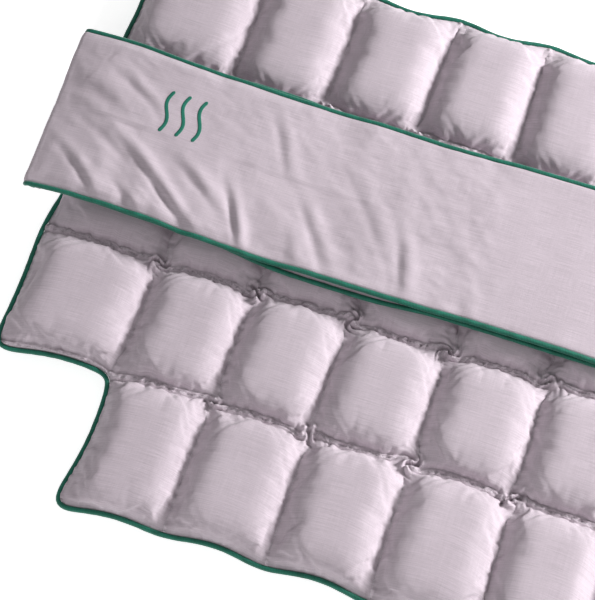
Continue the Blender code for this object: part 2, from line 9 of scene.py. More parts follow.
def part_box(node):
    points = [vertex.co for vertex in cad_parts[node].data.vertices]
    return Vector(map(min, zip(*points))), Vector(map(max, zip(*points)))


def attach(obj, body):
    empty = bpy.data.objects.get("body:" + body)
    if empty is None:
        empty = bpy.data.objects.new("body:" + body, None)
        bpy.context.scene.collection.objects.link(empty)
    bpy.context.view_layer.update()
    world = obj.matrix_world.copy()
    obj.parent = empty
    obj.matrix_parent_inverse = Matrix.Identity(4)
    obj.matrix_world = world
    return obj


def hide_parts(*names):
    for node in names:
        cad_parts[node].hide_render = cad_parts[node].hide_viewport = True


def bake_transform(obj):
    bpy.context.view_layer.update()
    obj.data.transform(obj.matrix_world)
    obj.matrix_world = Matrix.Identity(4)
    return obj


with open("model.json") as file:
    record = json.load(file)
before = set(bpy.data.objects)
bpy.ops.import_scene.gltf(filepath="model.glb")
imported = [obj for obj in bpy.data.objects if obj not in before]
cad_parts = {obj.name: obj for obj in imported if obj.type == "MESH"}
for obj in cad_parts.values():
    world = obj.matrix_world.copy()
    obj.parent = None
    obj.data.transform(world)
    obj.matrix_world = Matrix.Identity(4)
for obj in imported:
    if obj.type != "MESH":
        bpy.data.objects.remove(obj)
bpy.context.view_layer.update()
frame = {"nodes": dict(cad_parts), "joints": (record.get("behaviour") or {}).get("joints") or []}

for item in bpy.context.selected_objects:
    item.select_set(False)

# places that every piece is built from, read from the frame
faceLow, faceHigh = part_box("face_cloth_left")
backLow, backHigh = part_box("backing_cloth_left")
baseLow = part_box("base_lower_cloth_left")[0]
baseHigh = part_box("base_upper_cloth_left")[1]
armLow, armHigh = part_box("arm_lower_cloth_left")[0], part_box("arm_upper_cloth_left")[1]
patchLow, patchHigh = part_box("hook_patch")
loopLow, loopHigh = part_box("loop_patch")
inletLow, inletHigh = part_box("inlet_shell_lower")
markLow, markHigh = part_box("heat_mark_1")
edgePipeLow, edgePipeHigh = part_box("edge_piping_left")
armHinge = next(joint for joint in frame["joints"] if joint["name"] == "right_arm_unfold")["pos_m"]
halfLength = -backLow[0]
halfWidth = faceHigh[1]
crownTop = faceHigh[2]
seamTop = faceLow[2]
seamUnder = backHigh[2]
bandMid = (baseLow[1] + baseHigh[1]) / 2
bandHalf = (baseHigh[1] - baseLow[1]) / 2
foldX, foldZ = armHinge[0], armHinge[2]
armMiddle = (armLow[2] + armHigh[2]) / 2
baseMiddle = (baseLow[2] + baseHigh[2]) / 2
leftRight = ("left", "right")
patchFar = max(abs(loopLow[0]), abs(loopHigh[0]), abs(patchLow[0]), abs(patchHigh[0]))


# small tools for meshes and uneven cloth

def softStep(value):
    value = np.clip(value, 0, 1)
    return value * value * (3 - 2 * value)


def uneven(seed, x, y, pitchX, pitchY, turn=0.0):
    # smooth random field from -1 to 1, with a pitch along and across its direction
    c, s = math.cos(turn), math.sin(turn)
    u = (x * c + y * s) / pitchX
    v = (-x * s + y * c) / pitchY
    table = np.random.default_rng(seed).uniform(-1, 1, (211, 211))
    i, j = np.floor(u).astype(int), np.floor(v).astype(int)
    a, b = softStep(u - i), softStep(v - j)
    i, j = i % 210, j % 210
    low = table[i, j] * (1 - a) + table[i + 1, j] * a
    high = table[i, j + 1] * (1 - a) + table[i + 1, j + 1] * a
    return low * (1 - b) + high * b


def newMesh(name, points, quads, tris=None, uv=None):
    # uv holds one pair for each corner, the quads' first
    tris = np.zeros((0, 3), int) if tris is None else tris
    corners = np.concatenate([quads.ravel(), tris.ravel()]).astype(np.int32)
    starts = np.concatenate([np.arange(len(quads)) * 4, quads.size + np.arange(len(tris)) * 3])
    data = bpy.data.meshes.new(name)
    data.vertices.add(len(points))
    data.vertices.foreach_set("co", np.ascontiguousarray(points, np.float32).ravel())
    data.loops.add(len(corners))
    data.loops.foreach_set("vertex_index", corners)
    data.polygons.add(len(starts))
    data.polygons.foreach_set("loop_start", starts.astype(np.int32))
    data.update(calc_edges=True)
    if uv is not None:
        layer = data.uv_layers.new(name="flat")
        layer.data.foreach_set("uv", np.ascontiguousarray(uv, np.float32).ravel())
    data.shade_smooth()
    made = bpy.data.objects.new(name, data)
    bpy.context.scene.collection.objects.link(made)
    return made


def gridQuads(rows, columns):
    index = np.arange(rows * columns).reshape(rows, columns)
    return np.stack([index[:-1, :-1], index[1:, :-1], index[1:, 1:], index[:-1, 1:]], axis=-1)


def twoSided(name, top, under, uv, keep=None):
    # closed sheet from two grids of points, walled along every border
    rows, columns = top.shape[:2]
    quads = gridQuads(rows, columns)
    quads = quads.reshape(-1, 4) if keep is None else quads[keep]
    count = rows * columns
    ends = np.stack([quads, np.roll(quads, -1, axis=1)], axis=-1).reshape(-1, 2)
    code, back = ends[:, 0] * count + ends[:, 1], ends[:, 1] * count + ends[:, 0]
    border = ends[~np.isin(code, back)]
    walls = np.stack([border[:, 1], border[:, 0], border[:, 0] + count, border[:, 1] + count], axis=1)
    faces = np.concatenate([quads, quads[:, ::-1] + count, walls])
    points = np.concatenate([top.reshape(-1, 3), under.reshape(-1, 3)])
    flat = np.concatenate([uv.reshape(-1, 2), uv.reshape(-1, 2) + [0.37, 0.21]])
    used, index = np.unique(faces, return_inverse=True)
    made = newMesh(name, points[used], index.reshape(-1, 4), uv=flat[faces.ravel()])
    return made, len(quads)


def tube(name, path, radius, sides, seed, lumps=0.06):
    # round cord along a path, with domed tips and a slightly uneven girth; uv is length and turn
    tangent = np.gradient(path, axis=0)
    tangent /= np.linalg.norm(tangent, axis=1)[:, None]
    side = np.cross(tangent, [0.0, 0.0, 1.0])
    side[np.linalg.norm(side, axis=1) < 1e-3] = [0.0, 1.0, 0.0]
    side /= np.linalg.norm(side, axis=1)[:, None]
    up = np.cross(side, tangent)
    steps = np.linalg.norm(np.diff(path, axis=0), axis=1)
    along = np.concatenate([[0], np.cumsum(steps)])
    girth = radius * (1 + lumps * uneven(seed, along, along * 0, 0.006, 1.0))
    tip, deep = np.array([0.97, 0.72, 0.28]), np.array([0.25, 0.70, 0.96])
    first = path[0] - tangent[0] * radius * deep[::-1, None]
    last = path[-1] + tangent[-1] * radius * deep[:, None]
    path = np.concatenate([first, path, last])
    girth = np.concatenate([girth[0] * tip[::-1], girth, girth[-1] * tip])
    side = np.concatenate([side[:1]] * 3 + [side] + [side[-1:]] * 3)
    up = np.concatenate([up[:1]] * 3 + [up] + [up[-1:]] * 3)
    along = np.concatenate([along[0] - radius * deep[::-1], along, along[-1] + radius * deep])
    turn = (np.arange(sides) * 2 * np.pi / sides)[None, :, None]
    rings = path[:, None] + girth[:, None, None] * (side[:, None] * np.cos(turn) + up[:, None] * np.sin(turn))
    index = np.arange(len(path) * sides).reshape(-1, sides)
    here, ahead = index[:-1], index[1:]
    quads = np.stack([here, ahead, np.roll(ahead, -1, axis=1), np.roll(here, -1, axis=1)], axis=-1)
    near = np.broadcast_to(along[:-1, None], here.shape)
    far = np.broadcast_to(along[1:, None], here.shape)
    share = np.broadcast_to(np.arange(sides) / sides, here.shape)
    uv = np.stack([near, share, far, share, far, share + 1 / sides, near, share + 1 / sides], axis=-1)
    poles = [path[0] - (path[1] - path[0]) * 0.4, path[-1] + (path[-1] - path[-2]) * 0.4]
    points = np.concatenate([rings.reshape(-1, 3), poles])
    low, high = index[0], index[-1]
    tris = np.concatenate([
        np.stack([low, np.roll(low, -1), np.full(sides, len(points) - 2)], axis=1),
        np.stack([np.roll(high, -1), high, np.full(sides, len(points) - 1)], axis=1)])
    uv = np.concatenate([uv.reshape(-1, 2), np.zeros((tris.size, 2))])
    return newMesh(name, points, quads.reshape(-1, 4), tris, uv)


def repeated(name, shape, quads, tris, places, turns):
    # one small shape set at many places, with a 3 x 3 turn for each
    points = (np.einsum("pij,vj->pvi", turns, shape) + places[:, None]).reshape(-1, 3)
    step = (np.arange(len(places)) * len(shape))[:, None, None]
    allQuads = (quads[None] + step).reshape(-1, 4)
    allTris = (tris[None] + step).reshape(-1, 3)
    return newMesh(name, points, allQuads, allTris, np.zeros((allQuads.size + allTris.size, 2)))


# camera, floor and light

view = {"azimuth": 20.07, "elevation": 66.74, "roll": -1.13, "distance": 1.774,
        "target": (-0.358, -0.0476, 0.02), "lens": 108.0, "sensor": 36.0}


def makeCamera():
    az, el, roll = (math.radians(view[k]) for k in ("azimuth", "elevation", "roll"))
    back = Vector((math.sin(az) * math.cos(el), -math.cos(az) * math.cos(el), math.sin(el)))
    data = bpy.data.cameras.new("camera")
    data.lens = view["lens"]
    data.sensor_width = view["sensor"]
    data.clip_end = 20
    cam = bpy.data.objects.new("camera", data)
    bpy.context.scene.collection.objects.link(cam)
    place = Vector(view["target"]) + back * view["distance"]
    turn = back.to_track_quat("Z", "Y").to_matrix().to_4x4()
    cam.matrix_world = Matrix.Translation(place) @ turn @ Matrix.Rotation(roll, 4, "Z")
    bpy.context.scene.camera = cam


light = {"key": (1.70, 1.00, 1.02), "keyPower": 104, "keySize": 0.6,
         "fill": (-0.5, -1.5, 1.05), "fillPower": 9, "fillSize": 1.6,
         "sky": 0.262, "floorGlow": 0.68, "aim": (-0.3, 0.0, 0.0)}


def areaLight(name, place, power, size):
    data = bpy.data.lights.new(name, "AREA")
    data.energy = power
    data.size = size
    made = bpy.data.objects.new(name, data)
    bpy.context.scene.collection.objects.link(made)
    made.location = place
    made.rotation_euler = (Vector(place) - Vector(light["aim"])).to_track_quat("Z", "Y").to_euler()


def makeStage():
    bpy.ops.mesh.primitive_plane_add(size=30, location=(0, 0, 0))
    floor = bpy.context.active_object
    floor.name = "floor"
    paint = bpy.data.materials.new("floorPaint")
    paint.use_nodes = True
    shader = paint.node_tree.nodes["Principled BSDF"]
    shader.inputs["Base Color"].default_value = (0.93, 0.93, 0.93, 1)
    shader.inputs["Roughness"].default_value = 0.9
    shader.inputs["Emission Color"].default_value = (1, 1, 1, 1)
    shader.inputs["Emission Strength"].default_value = light["floorGlow"]
    floor.data.materials.append(paint)
    floor.select_set(False)
    areaLight("key", light["key"], light["keyPower"], light["keySize"])
    areaLight("fill", light["fill"], light["fillPower"], light["fillSize"])
    bpy.context.scene.view_settings.view_transform = "Standard"
    world = bpy.data.worlds.new("studio")
    bpy.context.scene.world = world
    world.use_nodes = True
    world.node_tree.nodes["Background"].inputs["Color"].default_value = (1, 1, 1, 1)
    world.node_tree.nodes["Background"].inputs["Strength"].default_value = light["sky"]


# materials

class Paint:
    # a material with short ways to add and join its nodes
    def __init__(self, name):
        self.data = bpy.data.materials.new(name)
        self.data.use_nodes = True
        self.tree = self.data.node_tree
        self.shader = self.tree.nodes["Principled BSDF"]

    def set(self, **values):
        for key, value in values.items():
            label = {"roughness": "Roughness", "metallic": "Metallic", "sheen": "Sheen Weight",
                     "sheenRough": "Sheen Roughness", "sheenTint": "Sheen Tint", "coat": "Coat Weight",
                     "coatRough": "Coat Roughness", "specular": "Specular IOR Level"}[key]
            self.shader.inputs[label].default_value = value
        return self

    def add(self, kind, **values):
        node = self.tree.nodes.new(kind)
        for key, value in values.items():
            if key in node.inputs:
                node.inputs[key].default_value = value
            else:
                setattr(node, key, value)
        return node

    def join(self, a, b):
        self.tree.links.new(a, b)

    def coords(self, scale, uv="flat", turn=0.0):
        node = self.add("ShaderNodeUVMap", uv_map=uv) if uv else self.add("ShaderNodeTexCoord")
        mapping = self.add("ShaderNodeMapping")
        mapping.inputs["Scale"].default_value = scale
        mapping.inputs["Rotation"].default_value = (0, 0, turn)
        self.join(node.outputs["UV" if uv else "Object"], mapping.inputs["Vector"])
        return mapping.outputs["Vector"]

    def noise(self, where, detail=2.0, rough=0.5):
        node = self.add("ShaderNodeTexNoise", Scale=1.0, Detail=detail, Roughness=rough)
        self.join(where, node.inputs["Vector"])
        return node.outputs["Fac"]

    def ramp(self, value, stops):
        node = self.add("ShaderNodeValToRGB")
        while len(node.color_ramp.elements) < len(stops):
            node.color_ramp.elements.new(0.5)
        for element, (place, colour) in zip(node.color_ramp.elements, stops):
            element.position = place
            element.color = (*colour, 1)
        self.join(value, node.inputs["Fac"])
        return node.outputs["Color"]

    def sum(self, *pairs):
        # weighted sum of values
        total = None
        for value, weight in pairs:
            scaled = self.add("ShaderNodeMath", operation="MULTIPLY")
            self.join(value, scaled.inputs[0])
            scaled.inputs[1].default_value = weight
            if total is None:
                total = scaled.outputs[0]
                continue
            both = self.add("ShaderNodeMath", operation="ADD")
            self.join(total, both.inputs[0])
            self.join(scaled.outputs[0], both.inputs[1])
            total = both.outputs[0]
        return total

    def math(self, operation, a, b=0.0):
        node = self.add("ShaderNodeMath", operation=operation)
        for place, value in ((0, a), (1, b)):
            if isinstance(value, (int, float)):
                node.inputs[place].default_value = value
            else:
                self.join(value, node.inputs[place])
        return node.outputs[0]

    def bump(self, height, distance, strength=1.0):
        node = self.add("ShaderNodeBump", Strength=strength, Distance=distance)
        self.join(height, node.inputs["Height"])
        self.join(node.outputs["Normal"], self.shader.inputs["Normal"])

    def colour(self, value):
        self.join(value, self.shader.inputs["Base Color"])


chambray = {"dark": (0.450, 0.382, 0.428), "light": (0.715, 0.622, 0.688), "thread": 0.00045,
            "slubLong": 0.030, "slubWide": 0.0008, "sheen": 0.25}


def weaveWave(paint, where, direction, pitch):
    # one set of threads; the wave texture repeats every 0.314 of its own units
    node = paint.add("ShaderNodeTexWave", Scale=0.314 / pitch, Distortion=0.0, bands_direction=direction)
    paint.join(where, node.inputs["Vector"])
    return node.outputs["Fac"]


# creased cloth beside the quilt's inner seams, whose crease hollows get painted shade; the outermost column
# seam lies within lastSeam pitches
crumple = {"rowReach": 0.0062, "columnReach": 0.0024, "columnShare": 0.4, "pitch": (0.0050, 0.0036),
           "finePitch": 0.0022, "level": 0.54, "paintedShade": 2.0, "depth": 4.5, "deepestPaintedShade": (0.150, 0.122, 0.140),
           "lastSeam": 5.4}


def fallOff(paint, away, reach):
    near = paint.math("SUBTRACT", 1.0, paint.math("DIVIDE", away, reach))
    return paint.math("MAXIMUM", near, 0.0)


def seamMask(paint):
    # one on every inner seam of the quilt, none between; the seams lie where its flat coordinates say
    parts = paint.add("ShaderNodeSeparateXYZ")
    paint.join(paint.coords((1, 1, 1)), parts.inputs[0])
    pitch = quilt["columns"][0]
    across = paint.math("PINGPONG", paint.math("ABSOLUTE", parts.outputs["X"]), pitch / 2)
    last = paint.math("LESS_THAN", paint.math("ABSOLUTE", parts.outputs["X"]), crumple["lastSeam"] * pitch)
    column = paint.math("MULTIPLY", fallOff(paint, across, crumple["columnReach"]), last)
    rowMask = None
    at = -halfWidth
    for width in quilt["rows"][:-1]:
        at += width
        away = paint.math("ABSOLUTE", paint.math("SUBTRACT", parts.outputs["Y"], at))
        one = fallOff(paint, away, crumple["rowReach"])
        rowMask = one if rowMask is None else paint.math("MAXIMUM", rowMask, one)
    return rowMask, column


def clothPaint(name, dark, light, thread, slubLong, slubWide, sheen, seams=False):
    paint = Paint(name).set(roughness=0.88, sheen=sheen, sheenRough=0.45, specular=0.25)
    along = paint.noise(paint.coords((1 / slubLong, 1 / slubWide, 1)), detail=2)
    across = paint.noise(paint.coords((1 / slubWide, 1 / slubLong, 1)), detail=2)
    fine = paint.noise(paint.coords((1 / (slubWide * 5), 1 / (slubWide * 0.6), 1)), detail=1)
    broad = paint.noise(paint.coords((14, 14, 1)), detail=3)
    flat = paint.coords((1, 1, 1))
    warp = weaveWave(paint, flat, "X", thread)
    weft = weaveWave(paint, flat, "Y", thread)
    tone = paint.sum((along, 0.40), (across, 0.16), (fine, 0.20), (broad, 0.20), (warp, 0.02), (weft, 0.02))
    relief = paint.sum((warp, 0.3), (weft, 0.3), (along, 0.5), (across, 0.4), (fine, 0.3))
    stops = [(0.30, dark), (0.70, light)]
    if seams:
        # gathered and creased cloth beside the stitching: bumped creases, with painted shade darkening their
        # hollows
        rowMask, columnMask = seamMask(paint)
        pitchX, pitchY = crumple["pitch"]
        rough = paint.noise(paint.coords((1 / pitchX, 1 / pitchY, 1)), detail=3, rough=0.6)
        small = paint.noise(paint.coords((1 / crumple["finePitch"],) * 3), detail=2)
        mask = paint.math("MAXIMUM", rowMask, paint.math("MULTIPLY", columnMask, crumple["columnShare"]))
        folds = paint.sum((rough, 0.7), (small, 0.3))
        hollow = paint.math("MAXIMUM", paint.math("SUBTRACT", crumple["level"], folds), 0.0)
        # painted shade: the colour is darkened in the low hollows of the folds near the seams
        paintedShade = paint.math("MULTIPLY", paint.math("MULTIPLY", hollow, mask), crumple["paintedShade"])
        depth = paint.math("MULTIPLY", paint.math("MULTIPLY", folds, mask), crumple["depth"])
        tone = paint.math("SUBTRACT", tone, paintedShade)
        relief = paint.math("ADD", relief, depth)
        # the ramp's darkest stop is the colour of the deepest painted shade
        stops = [(0.0, crumple["deepestPaintedShade"])] + stops
    paint.colour(paint.ramp(tone, stops))
    paint.bump(relief, 0.00035, 0.7)
    return paint.data


def pipingPaint():
    # bias-cut cotton over a cord: fine slanted ribs
    paint = Paint("emeraldPiping").set(roughness=0.55, sheen=0.35, sheenRough=0.4, specular=0.4)
    ribs = paint.add("ShaderNodeTexWave", Scale=1.0, Distortion=1.2, bands_direction="DIAGONAL")
    paint.join(paint.coords((420, 1.9, 1)), ribs.inputs["Vector"])
    patches = paint.noise(paint.coords((90, 3, 1)), detail=3)
    tone = paint.sum((ribs.outputs["Fac"], 0.3), (patches, 0.7))
    paint.colour(paint.ramp(tone, [(0.25, (0.001, 0.085, 0.052)), (0.75, (0.008, 0.205, 0.135))]))
    paint.bump(paint.sum((ribs.outputs["Fac"], 0.6), (patches, 0.4)), 0.00030, 0.8)
    return paint.data


def plainPaint(name, dark, light, scale, rough, metal=0.0, depth=0.0001, stretch=(1, 1, 1), sheen=0.0):
    # grained finish on object coordinates, for the pieces taken over from the frame
    paint = Paint(name).set(roughness=rough, metallic=metal, sheen=sheen)
    grain = paint.noise(paint.coords(tuple(scale * s for s in stretch), uv=None), detail=5, rough=0.6)
    broad = paint.noise(paint.coords((scale / 9,) * 3, uv=None), detail=2)
    tone = paint.sum((grain, 0.6), (broad, 0.4))
    paint.colour(paint.ramp(tone, [(0.3, dark), (0.7, light)]))
    shine = paint.add("ShaderNodeMapRange")
    shine.inputs["To Min"].default_value = rough - 0.06
    shine.inputs["To Max"].default_value = rough + 0.06
    paint.join(broad, shine.inputs["Value"])
    paint.join(shine.outputs["Result"], paint.shader.inputs["Roughness"])
    paint.bump(grain, depth)
    return paint.data


def makePaints():
    made = {
        "quilt": clothPaint("quiltChambray", **chambray, seams=True),
        "face": clothPaint("bandChambray", **chambray),
        "back": clothPaint("backingTwill", (0.070, 0.068, 0.075), (0.120, 0.116, 0.128), 0.0005,
                           0.020, 0.0007, 0.1),
        "piping": pipingPaint(),
        "thread": plainPaint("sewingThread", (0.52, 0.48, 0.52), (0.78, 0.74, 0.78), 3000, 0.6, sheen=0.3),
        "print": plainPaint("emeraldPrint", (0.002, 0.120, 0.078), (0.010, 0.190, 0.130), 1500, 0.7),
        "plastic": plainPaint("inletPlastic", (0.310, 0.265, 0.300), (0.400, 0.345, 0.390), 1800, 0.48),
        "dark": plainPaint("socketPlastic", (0.010, 0.010, 0.011), (0.020, 0.020, 0.022), 1800, 0.40),
        "brass": plainPaint("brassPin", (0.62, 0.40, 0.13), (0.78, 0.54, 0.22), 900, 0.26, 1.0),
        "steel": plainPaint("steelScrew", (0.42, 0.42, 0.43), (0.62, 0.62, 0.63), 900, 0.30, 1.0),
        "hook": plainPaint("hookTape", (0.045, 0.044, 0.048), (0.085, 0.083, 0.090), 900, 0.62, sheen=0.2),
        "loop": plainPaint("loopTape", (0.30, 0.27, 0.295), (0.52, 0.48, 0.51), 1500, 0.95, sheen=0.6),
        "carrier": plainPaint("feltCarrier", (0.62, 0.60, 0.56), (0.78, 0.76, 0.72), 700, 0.95, sheen=0.3),
        "foil": plainPaint("reflectiveFoil", (0.70, 0.70, 0.72), (0.86, 0.86, 0.88), 160, 0.28, 1.0, 0.0004),
        "wire": plainPaint("siliconeWire", (0.030, 0.030, 0.032), (0.060, 0.060, 0.063), 700, 0.45),
        "lead": plainPaint("redLead", (0.45, 0.050, 0.035), (0.62, 0.095, 0.075), 600, 0.42),
        "wadding": plainPaint("wadding", (0.74, 0.73, 0.70), (0.88, 0.87, 0.85), 400, 0.97, sheen=0.4)}
    print("materials made:", len(made))
    return made


nodePaints = {
    "inlet_shell": "plastic", "inlet_tongue": "plastic", "inlet_socket": "dark", "inlet_pin": "brass",
    "inlet_screw": "steel", "heater_carrier": "carrier", "heating_wire": "wire", "reflective_foil": "foil",
    "thermal_cutout": "steel", "temperature_sensor": "dark", "feed_lead": "lead", "return_lead": "lead",
    "pocket_wadding": "wadding", "insulation_wadding": "wadding"}


def paintFrame(paints):
    # every node that still shows gets a finish of its own
    for name, node in frame["nodes"].items():
        for start, paint in nodePaints.items():
            if name.startswith(start):
                node.data.materials.clear()
                node.data.materials.append(paints[paint])


def finishPiece(made, paint, slotName, *nodes):
    made.data.materials.append(paint)
    if nodes:
        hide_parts(*nodes)


# quilt

# columns from the middle fold outwards, rows from the lower edge up
quilt = {"columns": [0.100] * 5 + [0.112], "rows": [0.132, 0.122, 0.115, 0.101, 0.146],
         "simCell": 0.0030, "fineCount": 60, "crowd": 0.40, "frames": 24,
         "start": 0.0165, "plateau": 4.0, "stripHalf": 0.0030, "grow": 0.08, "pressure": 4.0,
         "seamLift": 0.0030, "crossingJitter": 0.0022, "seamBow": 0.0022, "bowPower": 1.2,
         "edgeDip": 0.0085, "dipVary": (0.8, 1.15), "edgeOut": 0.0040, "endOut": 0.0090,
         "topOut": (0.0110, 0.0220), "endDip": 0.0030, "cornerSoft": 0.0130,
         "cornerOut": (0.0115, 0.0120), "cornerShare": 0.7, "steepen": 1.55, "tallest": 99.3,
         "square": (3.7, 5.5), "squareShare": 0.68, "squareHeight": 0.95, "seed": 7,
         "fill": (0.88, 1.06), "bend": 0.008}

# how the two shells close: the edge thins, the crown and the fold keep their limits, the back flattens
shell = {"thinReach": 0.007, "thinTop": 0.0024, "thinUnder": 0.0018, "foldRoom": 0.92, "foldGap": 0.0004,
         "foldSoft": 0.0012, "crownSoft": 0.004, "underShare": 0.62, "underSoft": 0.0008, "edgeCalm": 0.75,
         "edgeReach": 0.012, "floorSoft": 0.0010, "floorSink": 0.0004, "sinkReach": 0.004}

# cloth near the outer edge that moves with it
rim = {"near": 0.045, "nearStep": 0.05, "spread": 0.0012, "carry": 0.035, "batch": 4000,
       "measured": 0.03, "far": 0.05}


def spans(widths, counts, crowd=0.0):
    # places along one direction, the span each lies in, and its share of that span
    edges = np.concatenate([[0], np.cumsum(widths)])
    at, span, share = [np.zeros(1)], [np.zeros(1, int)], [np.zeros(1)]
    for k, width in enumerate(widths):
        t = np.arange(1, counts[k] + 1) / counts[k]
        t = t - crowd * np.sin(2 * np.pi * t) / (2 * np.pi)
        at.append(edges[k] + width * t)
        span.append(np.full(counts[k], k))
        share.append(t)
    return np.concatenate(at), np.concatenate(span), np.concatenate(share)


def bumpBetween(share):
    return np.sin(np.pi * np.clip(share, 0, 1)) ** quilt["bowPower"]


def quiltPlan(ci, cs, rj, rs):
    # where the sewn grid really runs: crossings a little off, seams bowed, edge scalloped
    rng = np.random.default_rng(quilt["seed"])
    cols, rows = quilt["columns"], quilt["rows"]
    nc, nr = len(cols), len(rows)
    xe = np.concatenate([[0], np.cumsum(cols)])
    ye = np.concatenate([[0], np.cumsum(rows)]) - halfWidth
    cross = np.stack(np.meshgrid(xe, ye, indexing="ij"), axis=-1)
    cross = cross + rng.uniform(-1, 1, cross.shape) * quilt["crossingJitter"]
    cross[0, :, 0] = 0
    out = quilt["edgeOut"]
    cross[nc, :, 0] = xe[nc] + out
    cross[:, nr, 1] = ye[nr] + out
    cross[:, 0, 1] = ye[0] - out
    # the corners round off later, so they start further out
    cornerX, cornerY = quilt["cornerOut"]
    part = quilt["cornerShare"]
    cross[nc, 1] = (xe[nc] + cornerX, ye[1] - cornerY)
    cross[nc - 1, 0] = (xe[nc - 1] + cornerX * part, ye[0] - cornerY)
    cross[nc, nr] = (xe[nc] + cornerX * part, ye[nr] + cornerY * part)
    cross[nc, 2, 0] += quilt["endOut"]
    cross[nc, 4:, 0] += quilt["topOut"]
    # bows of each row seam and of each column seam
    bowX = rng.uniform(-1, 1, (nc, nr + 1)) * quilt["seamBow"]
    bowY = rng.uniform(-1, 1, (nc + 1, nr)) * quilt["seamBow"]
    dip = quilt["edgeDip"] * rng.uniform(*quilt["dipVary"], (nc + 1, nr + 1))
    bowX[:, nr] = -dip[:nc, nr]
    bowX[:, 0] = dip[:nc, 0]
    bowX[nc - 1, 1] = dip[nc - 1, 1]
    bowY[nc, :] = -dip[nc, :nr]
    bowY[nc, 1:3] = -quilt["endDip"]
    bowY[nc - 1, 0] = -dip[nc - 1, 0]
    bowY[0, :] = 0
    A, B = np.meshgrid(ci, rj, indexing="ij")
    T, S = np.meshgrid(cs, rs, indexing="ij")
    t, s = T[..., None], S[..., None]
    plan = ((cross[A, B] * (1 - t) + cross[A + 1, B] * t) * (1 - s)
            + (cross[A, B + 1] * (1 - t) + cross[A + 1, B + 1] * t) * s)
    plan[..., 1] += bumpBetween(T) * (bowX[A, B] * (1 - S) + bowX[A, B + 1] * S)
    plan[..., 0] += bumpBetween(S) * (bowY[A, B] * (1 - T) + bowY[A + 1, B] * T)
    return plan


def plateau(share):
    return 1 - np.abs(2 * share - 1) ** quilt["plateau"]


def simulateCloth(name, points, keep, pinned, frames, **values):
    # runs Blender's cloth on a grid with some points pinned, and gives back the grid
    rows, columns = points.shape[:2]
    quads = gridQuads(rows, columns)[keep]
    used, index = np.unique(quads, return_inverse=True)
    made = newMesh(name, points.reshape(-1, 3)[used], index.reshape(-1, 4))
    group = made.vertex_groups.new(name="pins")
    group.add([int(i) for i in np.flatnonzero(pinned.ravel()[used])], 1.0, "REPLACE")
    mod = made.modifiers.new("cloth", "CLOTH")
    mod.settings.vertex_group_mass = "pins"
    mod.settings.effector_weights.gravity = 0.0
    for key, value in values.items():
        setattr(mod.settings, key, value)
    mod.point_cache.frame_start = 1
    mod.point_cache.frame_end = frames
    for number in range(1, frames + 1):
        bpy.context.scene.frame_set(number)
    done = made.evaluated_get(bpy.context.evaluated_depsgraph_get()).to_mesh()
    co = np.empty(len(done.vertices) * 3, np.float32)
    done.vertices.foreach_get("co", co)
    bpy.data.objects.remove(made)
    bpy.context.scene.frame_set(1)
    result = points.reshape(-1, 3).copy()
    result[used] = co.reshape(-1, 3)
    return result.reshape(points.shape)


def pocketsKept(ci, rj):
    # all pockets but the one missing at the outer end of the bottom row
    lastColumn, firstRow = len(quilt["columns"]) - 1, 0
    return ~((ci[1:, None] == lastColumn) & (rj[None, 1:] == firstRow))


def seamLift(cs, rs):
    # a seam rises a little between its crossings
    T, S = np.meshgrid(cs, rs, indexing="ij")
    return quilt["seamLift"] * np.minimum(1.0, bumpBetween(T) + bumpBetween(S))


def simulatedFace():
    cols, rows = quilt["columns"], quilt["rows"]
    countU = [round(w / quilt["simCell"]) for w in cols]
    countV = [round(w / quilt["simCell"]) for w in rows]
    u, ci, cs = spans(cols, countU)
    v, rj, rs = spans(rows, countV)
    plan = quiltPlan(ci, cs, rj, rs)
    strip = quilt["stripHalf"] + 1e-5
    width = np.array(rows)[rj]
    fromSeam = np.minimum(rs, 1 - rs) * width
    inner = np.clip((rs * width - strip) / (width - 2 * strip), 0, 1)
    rng = np.random.default_rng(quilt["seed"] + 1)
    fill = rng.uniform(*quilt["fill"], (len(cols), len(rows)))[np.ix_(ci, rj)]
    height = quilt["start"] * fill * plateau(cs)[:, None] * plateau(inner)[None, :]
    onBorder = (v < 1e-6) | (v > sum(rows) - 1e-6)
    nearRow = (fromSeam < strip) & (v > strip) & (v < sum(rows) - strip)
    pinned = ((cs > 0.999) | (u == 0))[:, None] | (nearRow | onBorder)[None, :]
    height[pinned] = 0
    lift = seamLift(cs, rs)
    lift[:, 0] = lift[:, -1] = lift[-1, :] = 0
    points = np.concatenate([plan, (height + lift)[..., None]], axis=-1)
    points = simulateCloth("quiltCloth", points, pocketsKept(ci, rj), pinned, quilt["frames"],
                           quality=5, mass=0.2, air_damping=2.0, tension_stiffness=12,
                           compression_stiffness=12, shear_stiffness=4, bending_stiffness=0.15,
                           use_pressure=True, uniform_pressure_force=quilt["pressure"],
                           shrink_min=-quilt["grow"])
    print("quilt cloth: highest point", round(float(points[..., 2].max()) * 1000, 1), "mm above the seams")
    return points, countU, countV


def curveRows(count, shares):
    # weights that read a smooth curve through count + 1 even points at the given shares
    at = shares * count
    low = np.clip(np.floor(at).astype(int), 0, count - 1)
    f = at - low
    weights = (-0.5 * f + f ** 2 - 0.5 * f ** 3, 1 - 2.5 * f ** 2 + 1.5 * f ** 3,
               0.5 * f + 2 * f ** 2 - 1.5 * f ** 3, -0.5 * f ** 2 + 0.5 * f ** 3)
    rows = np.zeros((len(shares), count + 3))
    for k, weight in enumerate(weights):
        rows[np.arange(len(shares)), low + k] += weight
    rows[:, 1] += 2 * rows[:, 0]
    rows[:, 2] -= rows[:, 0]
    rows[:, count + 1] += 2 * rows[:, count + 2]
    rows[:, count] -= rows[:, count + 2]
    return rows[:, 1:-1]


